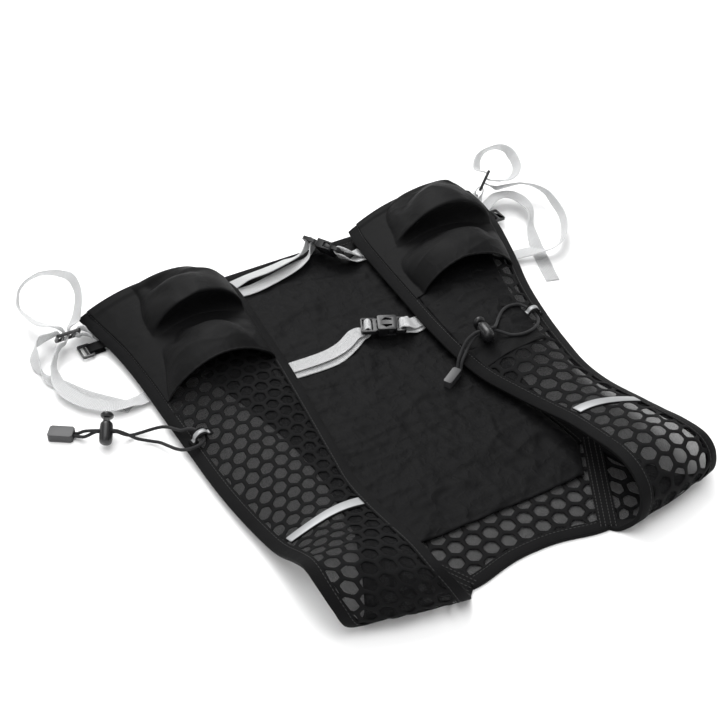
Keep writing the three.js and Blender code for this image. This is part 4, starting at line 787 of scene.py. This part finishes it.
def pucker(along, seed):
    """How far sewing pulls a tape in and out along its length, -1 to 1."""
    return np.array([noise.noise((at / 0.012, seed, 0)) + 0.5 * noise.noise((at / 0.004, seed, 5))
                     for at in along])


def flat_binding(name, node, edge, inward, seed):
    """A binding round an edge of the back panel. edge is (x, y) rows, inward the direction into the panel.

    Gives its line of stitches.
    """
    bulge = 1 + 0.06 * pucker(lengths_along(edge), seed)
    rings = [[(px + nx * a, py + ny * a, edge_height + b * (swell if b > 0 else 1)) for a, b in tape_outline]
             for (px, py), (nx, ny), swell in zip(edge, inward, bulge)]
    finished(lofted(name, rings), node, material=binding_tape)
    return [(px + nx * sewn_in, py + ny * sewn_in, edge_height + sewn_height)
            for (px, py), (nx, ny) in zip(edge, inward)]


sewn_lines = []
neck_end = neck_corner[0] + 0.001
xs = np.linspace(-neck_end, neck_end, 90)
slope = np.gradient(neck_y(xs), xs)
size = np.hypot(1, slope)
sewn_lines.append(flat_binding("neck_tape", "neck_binding", np.stack([xs, neck_y(xs)], -1),
                               np.stack([-slope / size, 1 / size], -1), 1.5))
xs = np.linspace(1, -1, 130) * float(back_half_width([back_waist])[0])
sewn_lines.append(flat_binding("waist_tape", "waist_binding", np.stack([xs, np.full_like(xs, back_waist)], -1),
                               np.tile((0, -1), (len(xs), 1)), 2.5))
ys = np.linspace(seam_corner[1] - 0.001, back_waist - binding_width - 0.0015, 160)
slope = np.gradient(back_half_width(ys), ys)
size = np.hypot(1, slope)
for side, sign in (("right", 1), ("left", -1)):
    sewn_lines.append(flat_binding(
        f"armhole_tape_{side}", f"armhole_binding_{side}", np.stack([sign * back_half_width(ys), ys], -1),
        np.stack([-sign / size, slope / size], -1), 3.5 + sign))
stitched("back_stitches", sewn_lines)

# Front panels
# Two long panels of the same hexagon mesh. Each is sewn to the back at a shoulder seam, folds over at
# the shoulder and lies on top, arched across, down to the waist. Rows are sections from the inner edge to
# the outer: x as shares of the half span, y of the half length, z of the shoulder's height, and a crown.

shoulder_lift = 0.04
panel_crown = 0.018
seam_height = edge_height / shoulder_lift
front_pitch = {"right": 0.0145, "left": 0.0126}  # of the hexagons: the cloth isn't stretched alike
seam_row = (neck_corner[0] / half_span + 0.008, neck_corner[1] / half_length, seam_height,
            seam_corner[0] / half_span + 0.008, seam_corner[1] / half_length - 0.004, seam_height, 0)
front_rows = {
    "right": np.array([
        seam_row,
        (0.32, -0.975, seam_height, 0.62, -0.74, seam_height, 0), (0.34, -0.992, 0.1, 0.705, -0.885, 0.09, 0),
        (0.378, -1.018, 0.35, 0.79, -0.94, 0.28, 0.1), (0.405, -0.998, 0.7, 0.82, -0.92, 0.56, 0.2),
        (0.42, -0.925, 0.92, 0.824, -0.86, 0.73, 0.25), (0.427, -0.825, 0.95, 0.815, -0.765, 0.7, 0.3),
        (0.427, -0.7, 0.82, 0.805, -0.65, 0.55, 0.35), (0.427, -0.55, 0.62, 0.79, -0.52, 0.4, 0.4),
        (0.416, -0.4, 0.38, 0.763, -0.38, 0.3, 0.45), (0.376, -0.26, 0.3, 0.746, -0.25, 0.3, 0.5),
        (0.334, -0.11, 0.25, 0.762, -0.1, 0.3, 0.55), (0.316, 0.06, 0.24, 0.79, 0.06, 0.3, 0.6),
        (0.314, 0.27, 0.24, 0.843, 0.27, 0.3, 0.65), (0.324, 0.49, 0.24, 0.92, 0.48, 0.3, 0.72),
        (0.335, 0.71, 0.24, 0.988, 0.69, 0.3, 0.85), (0.346, 0.88, 0.25, 1.02, 0.86, 0.3, 0.95),
        (0.368, 0.985, 0.26, 1.016, 0.98, 0.34, 1)]),
    "left": np.array([
        seam_row,
        (0.32, -0.975, seam_height, 0.615, -0.74, seam_height, 0), (0.338, -0.992, 0.1, 0.708, -0.9, 0.09, 0),
        (0.365, -1.024, 0.33, 0.795, -0.925, 0.26, 0.1), (0.403, -1.008, 0.64, 0.83, -0.9, 0.58, 0.15),
        (0.435, -0.95, 0.84, 0.85, -0.83, 0.84, 0.2), (0.443, -0.84, 0.85, 0.857, -0.755, 0.93, 0.25),
        (0.443, -0.7, 0.7, 0.855, -0.67, 0.7, 0.3), (0.434, -0.53, 0.47, 0.862, -0.56, 0.38, 0.35),
        (0.426, -0.37, 0.32, 0.872, -0.44, 0.24, 0.4), (0.402, -0.21, 0.27, 0.887, -0.29, 0.19, 0.45),
        (0.378, -0.05, 0.24, 0.897, -0.12, 0.17, 0.5), (0.355, 0.12, 0.24, 0.9, 0.07, 0.17, 0.58),
        (0.33, 0.32, 0.24, 0.903, 0.29, 0.17, 0.66), (0.312, 0.52, 0.24, 0.905, 0.5, 0.17, 0.75),
        (0.294, 0.72, 0.24, 0.918, 0.7, 0.18, 0.86), (0.29, 0.87, 0.24, 0.947, 0.86, 0.21, 0.95),
        (0.32, 0.96, 0.25, 0.973, 0.985, 0.25, 1)]),
}
row_scale = np.array([half_span, half_length, shoulder_lift] * 2)


def front_edges(side, share):
    """The inner edge, the outer edge and the crown at shares along a front panel."""
    row = smooth_table(front_rows[side], share)
    return row[:, :3] * row_scale[:3], row[:, 3:6] * row_scale[3:], row[:, 6:] * panel_crown


tiny = 1e-3  # the step for a direction, as a share


def front_middle(side, share, across):
    """Points on a front panel's middle surface, as if it lay on the +X side."""
    low, high = np.maximum(share - tiny, 0), np.minimum(share + tiny, 1)
    inner, outer, crown = front_edges(side, share)
    chord = outer - inner
    along = sum(front_edges(side, high)[:2]) - sum(front_edges(side, low)[:2])
    up = np.cross(chord, along)
    up /= np.linalg.norm(up, axis=1)[:, None]
    across = across[:, None]
    return inner + chord * across + up * 4 * across * (1 - across) * crown


def front_point(side, share, across, height=0.0):
    """Points at shares along and across a front panel, raised off its middle surface. Any shape of arrays."""
    share, across, height = np.broadcast_arrays(np.asarray(share, float), across, height)
    shape = share.shape
    share, across, height = share.ravel(), np.array(across, float).ravel(), np.array(height, float).ravel()
    along = (front_middle(side, np.minimum(share + tiny, 1), across)
             - front_middle(side, np.maximum(share - tiny, 0), across))
    sideways = front_middle(side, share, across + tiny) - front_middle(side, share, across - tiny)
    normal = np.cross(sideways, along)
    normal /= np.linalg.norm(normal, axis=1)[:, None]
    out = front_middle(side, share, across) + normal * height[:, None]
    if side == "left":
        out[:, 0] *= -1
    return out.reshape(*shape, 3)


def front_width(side, share):
    """How wide a front panel is at shares along it."""
    inner, outer, _ = front_edges(side, np.atleast_1d(np.asarray(share, float)))
    return np.linalg.norm(outer - inner, axis=1)


share_line = np.linspace(0, 1, 600)
middle_lines = {side: front_point(side, share_line, 0.5) for side in front_rows}
middle_lengths = {side: lengths_along(middle_lines[side]) for side in front_rows}


def flat_place(side, share, across):
    """Where a point of a front panel lies on the flat cloth: across from the middle, and along."""
    width = front_width(side, np.ravel(share)).reshape(np.shape(share))
    along = np.interp(share, share_line, middle_lengths[side])
    sign = -1 if side == "left" else 1
    return np.stack([sign * (across - 0.5) * width, along], axis=-1)


def front_sheet(name, side, shares, acrosses, height, seed, ruffle):
    """A sheet over a front panel, height above its middle surface, with soft creases ruffle high."""
    share, across = np.meshgrid(shares, acrosses, indexing="ij")
    flat = flat_place(side, share, across)
    hold = np.clip(8 * np.minimum(across, 1 - across), 0, 1) * np.clip(20 * (share - 0.05), 0, 1)
    height = height + ruffle * hold * crease(flat[..., 0], flat[..., 1], (0.03, 0.016), seed)
    points = front_point(side, share, across, height)
    faces = grid_faces(*share.shape, side == "left")
    return linked(name, mesh_of(name, points.reshape(-1, 3), faces, flat.reshape(-1, 2)))


for side, seed in (("right", 4.2), ("left", 8.6)):
    cloth = front_sheet(f"front_net_{side}", side, np.linspace(0, 1, 220), np.linspace(0, 1, 48), 0, seed, 0.0016)
    bars = honeycomb(f"front_honeycomb_{side}", cloth, 0.0004, front_pitch[side])
    thickened(cloth, net_wall)
    finished(cloth, f"front_panel_{side}", material=net_cloth)
    finished(bars)

# Bindings of the front panels
# The same folded tape round the inner edge, the outer edge and the waist end of each front. It follows
# the panel over its shoulder fold, and one row of black stitches holds it on each side.

rim_width = binding_width + 0.002  # the strip of panel that a binding's section is measured on


def rim_line(start, finish, inset):
    """Points inset metres from the edge, on the way from the edge to the rim's inner side."""
    return start + (finish - start) * inset / rim_width


def front_binding(side, edge, name, node, seed):
    """The binding of a front panel's inner edge (0) or outer edge (1). Gives its line of stitches."""
    shares = np.linspace(0.002, 1, 340)
    rim = rim_width / front_width(side, shares)
    inside = np.where(edge, 1 - rim, rim)
    line = front_point(side, shares, float(edge))
    swell = 1 + 0.07 * pucker(lengths_along(line), seed)

    def lifted(inset, height):
        return rim_line(front_point(side, shares, float(edge), height),
                        front_point(side, shares, inside, height), inset)

    rings = [lifted(a, b * (swell if b > 0 else 1)) for a, b in tape_outline]
    finished(lofted(name, np.stack(rings, axis=1)), node, material=binding_tape)
    return lifted(sewn_in, sewn_height)


def waist_reach(side):
    """Metres for each share along a front panel's middle, at its waist end."""
    return np.linalg.norm(front_point(side, 1.0, 0.5) - front_point(side, 0.98, 0.5)) / 0.02


def hem_lifted(side, across, inset, height):
    """Points inset metres in from a front panel's waist end."""
    inside = 1 - rim_width / waist_reach(side)
    return rim_line(front_point(side, 1.0, across, height), front_point(side, inside, across, height), inset)


for side, seed in (("right", 11.0), ("left", 17.0)):
    lines = [front_binding(side, 0, f"inner_tape_{side}", f"inner_binding_{side}", seed),
             front_binding(side, 1, f"outer_tape_{side}", f"outer_binding_{side}", seed + 2)]
    border = (binding_width + 0.0006) / float(front_width(side, 1)[0])
    across = np.linspace(border, 1 - border, 70)
    rings = np.stack([hem_lifted(side, across, a, b) for a, b in tape_outline], axis=1)
    finished(lofted(f"hem_tape_{side}", rings), f"hem_binding_{side}", material=binding_tape)
    lines.append(hem_lifted(side, across, sewn_in, sewn_height))
    stitched(f"front_stitches_{side}", lines)

# Flask pockets
# Black stretch cloth sewn over the waist half of each front. The empty pockets sag into broad folds that
# run across, with small creases between, and an elastic hem gathers each mouth.

pocket_rise = 0.02
pocket_wall = 0.0008
hem_rise = 0.001  # how far the cloth climbs over the binding at the waist
# The height along a pocket, from its mouth to the waist: a lobe over the mouth, a deep valley, and a high
# ridge that leans over the valley. The bunch takes up part of the panel's width and the rest lies flat.
pocket_profile = np.array([[0.85], [0.98], [1.05], [1.06], [1], [0.86], [0.55], [0.2], [-0.05], [0], [0.6], [1.2],
                           [1.28], [1.18], [1.05], [0.9], [0.76], [0.64], [0.52], [0.36], [0]])
# The bunch's two sides, as shares across the pocket at the mouth, half way and at the waist.
bunch = {"right": ((0.06, 0.14, 0.32), (1, 1, 1)), "left": ((0, 0, 0), (0.95, 0.76, 0.66))}
# Ridges and valleys: where each starts along and across, where it ends, its bend, width and height.
pocket_folds = {
    "right": ((0.3, 0.3, 0.12, 0.62, 0.1, 0.09, -0.16), (0.62, 0.3, 0.85, 0.5, 0.1, 0.07, -0.28),
              (0.7, 0.55, 0.95, 0.85, 0.1, 0.06, 0.2), (0.2, 0.8, 0.38, 0.95, 0.1, 0.06, -0.2),
              (0.62, 0.75, 0.75, 0.98, 0.1, 0.05, -0.14)),
    "left": ((0.36, 0.42, 0.1, 0.12, 0.12, 0.08, -0.26), (0.8, 0.7, 0.72, 0.3, 0.12, 0.07, -0.34),
             (0.66, 0.1, 0.8, 0.45, 0.1, 0.06, 0.2), (0.2, 0.6, 0.34, 0.74, 0.1, 0.06, -0.18),
             (0.6, 0.5, 0.66, 0.78, 0.1, 0.05, -0.12)),
}
pocket_mouth = {"right": 0.41, "left": 0.35}
pocket_base = mesh_wall / 2 + layer_gap + 0.0005  # the cloth's middle where it lies flat


def fold_height(folds, along, across):
    """The folds' height over a pocket, as a share of its rise."""
    total = np.zeros(np.shape(along))
    for along0, across0, along1, across1, bend, wide, high in folds:
        dx, dy = across1 - across0, along1 - along0
        f = np.clip(((across - across0) * dx + (along - along0) * dy) / (dx * dx + dy * dy), 0, 1)
        bow = bend * math.hypot(dx, dy) * 4 * f * (1 - f)
        far = np.hypot(across - across0 - f * dx, along - along0 - f * dy - bow)
        fade = np.sin(np.pi * np.clip(f, 0.08, 0.92)) ** 0.5
        # A cloth's ridge is sharper than its valley.
        shape = np.exp(-((far / wide) ** 2))
        if high > 0:
            shape = 0.55 * np.exp(-far / wide * 1.6) + 0.45 * shape
        total += high * fade * shape
    return total


def mouth_share(side):
    """The share along a front panel where its pocket's mouth is."""
    above = share_line > 0.4
    line = middle_lines[side][above, 1]
    return float(np.interp(pocket_mouth[side] * half_length, line, share_line[above]))


def pocket_places(side, along, across):
    """The shares of the front panel that lie under shares of its pocket."""
    front = mouth_share(side)
    last = 1 - 0.0006 / waist_reach(side)
    share = front + (last - front) * along
    border = (binding_width - 0.0015) / front_width(side, share.ravel()).reshape(share.shape)
    return share, border + (1 - 2 * border) * across


stretch = woven("stretch_cloth", (0.0015, 0.0015, 0.0017), (0.0055, 0.0055, 0.0058), pitch=(0.0006, 0.0007),
                depth=0.00006, roughness=0.6, sheen=0.01, patch=30.0, specular=0.09)
creased(stretch, 30.0)
for side, seed in (("right", 21.0), ("left", 27.0)):
    along, across = np.meshgrid(np.linspace(0, 1, 160), np.linspace(0, 1, 104), indexing="ij")
    flat = flat_place(side, *pocket_places(side, along, across))
    # The bunch's sides waver a little, and the cloth beside it lies flat.
    waver = 0.025 * np.sin(11 * along + seed)
    low, high = (np.interp(along, (0, 0.5, 1), shares) + waver * (0 < shares[1] < 1) for shares in bunch[side])
    in_bunch = np.clip((across - low) / (high - low), 0, 1)
    dome = np.sin(np.pi * in_bunch) ** 0.7
    shifted = np.clip(along + 0.05 * (1 - 4 * in_bunch * (1 - in_bunch)) * np.sin(np.pi * along), 0, 1)
    profile = smooth_table(pocket_profile, shifted.ravel())[:, 0].reshape(along.shape)
    hold = np.minimum(1, 3 * dome * dome) * np.minimum(1, 12 * (1 - along))
    soft = crease(flat[..., 0], flat[..., 1], (0.06, 0.03), seed, 0.5)
    folds = fold_height(pocket_folds[side], along, across) * hold + 0.07 * soft * hold
    # Small gathers stand along the elastic mouth.
    gather = 0.01 * np.sin(across * 110) * np.exp(-along * 30) * dome
    rise = np.maximum(layer_gap, pocket_rise * (profile * dome + folds + gather))
    rise += pocket_base + hem_rise * smooth_step((along - 0.86) / 0.05)
    # The ridge leans towards the mouth.
    lean = 0.13 * np.exp(-(((shifted - 0.57) / 0.065) ** 2)) * dome ** 0.6
    share, place = pocket_places(side, along - lean, across)
    points = front_point(side, share, place, rise)
    pocket = linked(f"pocket_cloth_{side}", mesh_of(
        f"pocket_cloth_{side}", points.reshape(-1, 3), grid_faces(*along.shape, side == "left"),
        flat.reshape(-1, 2)))
    # The mouth's hem: a rolled elastic edge along the first row.
    mouth = smooth_path(points[0][2:-2:2], 0.002) + (0, 0, 0.0002)
    hem = finished(tube(f"pocket_hem_{side}", mouth, 0.0018), material=stretch)
    thickened(pocket, pocket_wall, 0)
    finished(pocket, f"pocket_{side}", material=stretch)
    if side == "right":
        # Under this mouth a patch of plain creased cloth lies on the mesh.
        shares = mouth_share(side) + np.linspace(-0.15, 0.03, 70)
        patch = front_sheet("pocket_patch_right", side, shares, np.linspace(0.09, 0.78, 60), 0.0014, 5.5, 0.002)
        thickened(patch, 0.0004)
        finished(patch, material=nylon)

# Keeper strips
# A black tape sewn across each front holds a drinking tube. A silver strip with glass beads in its
# surface is sewn along it, so that it shines back in a car's light.

silver, silver_shader = principled("reflective_silver", (0.3, 0.305, 0.31), 0.42)
silver_shader.inputs["Metallic"].default_value = 0.35
beads = placed_group(silver, wear, "object", Dark=(0.24, 0.245, 0.25, 1), Light=(0.36, 0.365, 0.37, 1),
                     Patch_Scale=60.0, Fleck_Scale=2500.0)
silver.node_tree.links.new(beads.outputs["Color"], silver_shader.inputs["Base Color"])
bump(silver, silver_shader, beads.outputs["Height"], 0.00004)
# Each strip's share along the panel at the inner and outer edge, and how far it stands off.
keeper_rows = {"right": (0.482, 0.447, 0.0001), "left": (0.474, 0.47, 0.0006)}
strip_outline = ((-1, 0.35), (-0.97, 0.8), (-0.9, 1), (0, 1), (0.9, 1), (0.97, 0.8), (1, 0.35), (1, 0), (-1, 0))


def strip_across(name, side, height, width, wall, seed):
    """A strip that crosses a front panel, its ends under the bindings."""
    inner, outer, _ = keeper_rows[side]
    border = (binding_width + 0.0015) / float(front_width(side, inner)[0])
    near, far = (front_point(side, inner + step / 34, 0.5) for step in (-1, 1))
    half = width / 2 / np.linalg.norm(far - near) / 17
    across = np.linspace(border, 1 - border, 60)
    middle = inner + (outer - inner) * across + 0.0022 * np.sin(7 * across + seed)
    lift = height + 0.12 * wall * pucker(across * 0.1, seed)
    return lofted(name, np.stack([front_point(side, middle + step * half, across, high * wall + lift)
                                  for step, high in strip_outline], axis=1))


for side, seed in (("right", 31.0), ("left", 37.0)):
    bottom = mesh_wall / 2 + layer_gap + keeper_rows[side][2]
    finished(strip_across(f"keeper_tape_{side}", side, bottom, 0.01, 0.001, seed), f"keeper_tape_{side}",
             material=binding_tape)
    finished(strip_across(f"reflector_{side}", side, bottom + 0.00115, 0.0085, 0.0004, seed), f"reflector_{side}",
             material=silver)

# Webs, tabs and tapes
# Light grey ribbed webbing on the buckles and at the sides, and black tapes at the small fittings. Each
# follows its solid's own path, with a rounded woven section.


def node_rings(node):
    """The rings of four corners that a web's solid was lofted through, from one end to the other."""
    made = bmesh.new()
    made.from_mesh(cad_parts[node].data)
    bmesh.ops.remove_doubles(made, verts=made.verts, dist=weld)
    # A corner between the ends has six edges, so the walk starts from the corners that have fewer.
    ends = {v for v in made.verts if len(v.link_edges) != 6}
    ring = [min(ends, key=lambda v: v.index)]
    for v in ring:
        ring += [w for w in (edge.other_vert(v) for edge in v.link_edges) if w in ends and w not in ring]
    seen = set()
    rings = []
    while ring:
        seen.update(ring)
        rings.append(np.array([v.co for v in ring]))
        ring = list({edge.other_vert(v) for v in ring for edge in v.link_edges} - seen)
    made.free()
    middle = rings[0].mean(axis=0)
    normal = np.linalg.svd(rings[0] - middle)[2]
    turn = np.argsort(np.arctan2((rings[0] - middle) @ normal[1], (rings[0] - middle) @ normal[0]))
    out = [rings[0][turn]]
    for ring in rings[1:]:
        order = min(itertools.permutations(range(4)), key=lambda p: ((ring[list(p)] - out[-1]) ** 2).sum())
        out.append(ring[list(order)])
    out = np.array(out)
    if np.linalg.norm(out[0, 1] - out[0, 0]) < np.linalg.norm(out[0, 2] - out[0, 1]):
        out = np.roll(out, 1, axis=1)
    return out


def half_width(rings):
    """The way from a web's middle to its edge, at each ring."""
    return (rings[:, 1] + rings[:, 2] - rings[:, 0] - rings[:, 3]) / 4


def band(name, rings, outline):
    """A smooth band along a web's rings. outline is places across it and through its wall, -1 to 1."""
    half_wall = (rings[:, 3] + rings[:, 2] - rings[:, 0] - rings[:, 1]) / 4
    # The width is made tiny while the path is smoothed, so that it doesn't count in the steps' lengths.
    tiny_width = 1e-4
    path = smooth_path(np.concatenate([rings.mean(axis=1), half_width(rings) * tiny_width, half_wall], axis=1),
                       0.0012)
    middle, across, up = path[:, :3], path[:, 3:6] / tiny_width, path[:, 6:]
    return lofted(name, np.stack([middle + a * across + b * up for a, b in outline], axis=1))


web_top = ((-0.985, 0.6), (-0.93, 0.95), (-0.8, 0.85), (0, 0.8), (0.8, 0.85), (0.93, 0.95), (0.985, 0.6))
web_outline = [(-1, 0), *web_top, (1, 0), *((-across, -up) for across, up in web_top)]
grey_web = woven("grey_webbing", (0.46, 0.465, 0.47), (0.6, 0.605, 0.61), pitch=(0.0013, 0.0012),
                 depth=0.0004, roughness=0.6, sheen=0, patch=50.0, specular=0.3)
web_shader = grey_web.node_tree.nodes["Principled BSDF"]
web_shader.inputs["Subsurface Weight"].default_value = 0.7
web_shader.inputs["Subsurface Radius"].default_value = (0.005, 0.005, 0.005)
web_shader.inputs["Subsurface Scale"].default_value = 1
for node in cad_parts:
    if node.startswith(("upper_strap", "lower_strap", "anchor_web", "side_")):
        web = band(f"{node}_web", node_rings(node), web_outline)
        finished(web, node, material=grey_web)
stripe_outline = np.array([(-0.5, 1), (-0.5, 1.35), (0.5, 1.35), (0.5, 1)])
for side in ("left", "right"):
    # A silver stripe is woven into the tab that holds the cord.
    rings = node_rings(f"cord_tab_{side}")
    rise = rings[:, 2:, 2].sum() - rings[:, :2, 2].sum()
    finished(band(f"tab_stripe_{side}", rings[1:-1], stripe_outline * (1, np.sign(rise))),
             material=silver)
sewn_lines = []
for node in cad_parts:
    if not node.startswith(("slider_tape", "cord_tab", "seam_tape")):
        continue
    rings = node_rings(node)
    if node.startswith("seam_tape"):
        # The tape runs on to the neck edge and the armhole, and has four rows of stitches.
        start, finish = rings[0], rings[-1]
        if start[:, 1].mean() < finish[:, 1].mean():
            start, finish = finish, start
        rings = np.array([start + (finish - start) * share for share in np.linspace(-0.34, 1.24, 9)])
        top = max(rings[0, :, 2]) + 0.0001
        for row in (-0.75, -0.28, 0.28, 0.75):
            sewn = rings.mean(axis=1) + row * half_width(rings)
            sewn[:, 2] = top
            sewn_lines.append(smooth_path(sewn, 0.002))
    finished(band(f"{node}_band", rings, web_outline), node, material=binding_tape)
stitched("seam_stitches", sewn_lines)

# Buckles, ladder locks and sliders
# Moulded black nylon: two side-release buckles that are fastened, two ladder locks at the waist corners
# and two small sliders under them. Their webs hold them, and every edge is rounded by the mould.

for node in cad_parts:
    if node.startswith(("upper_buckle", "lower_buckle", "ladder_lock", "slider_left", "slider_right")):
        finished(rounded(f"{node}_moulding", node, 0.0005, 2), node, material=black_nylon)
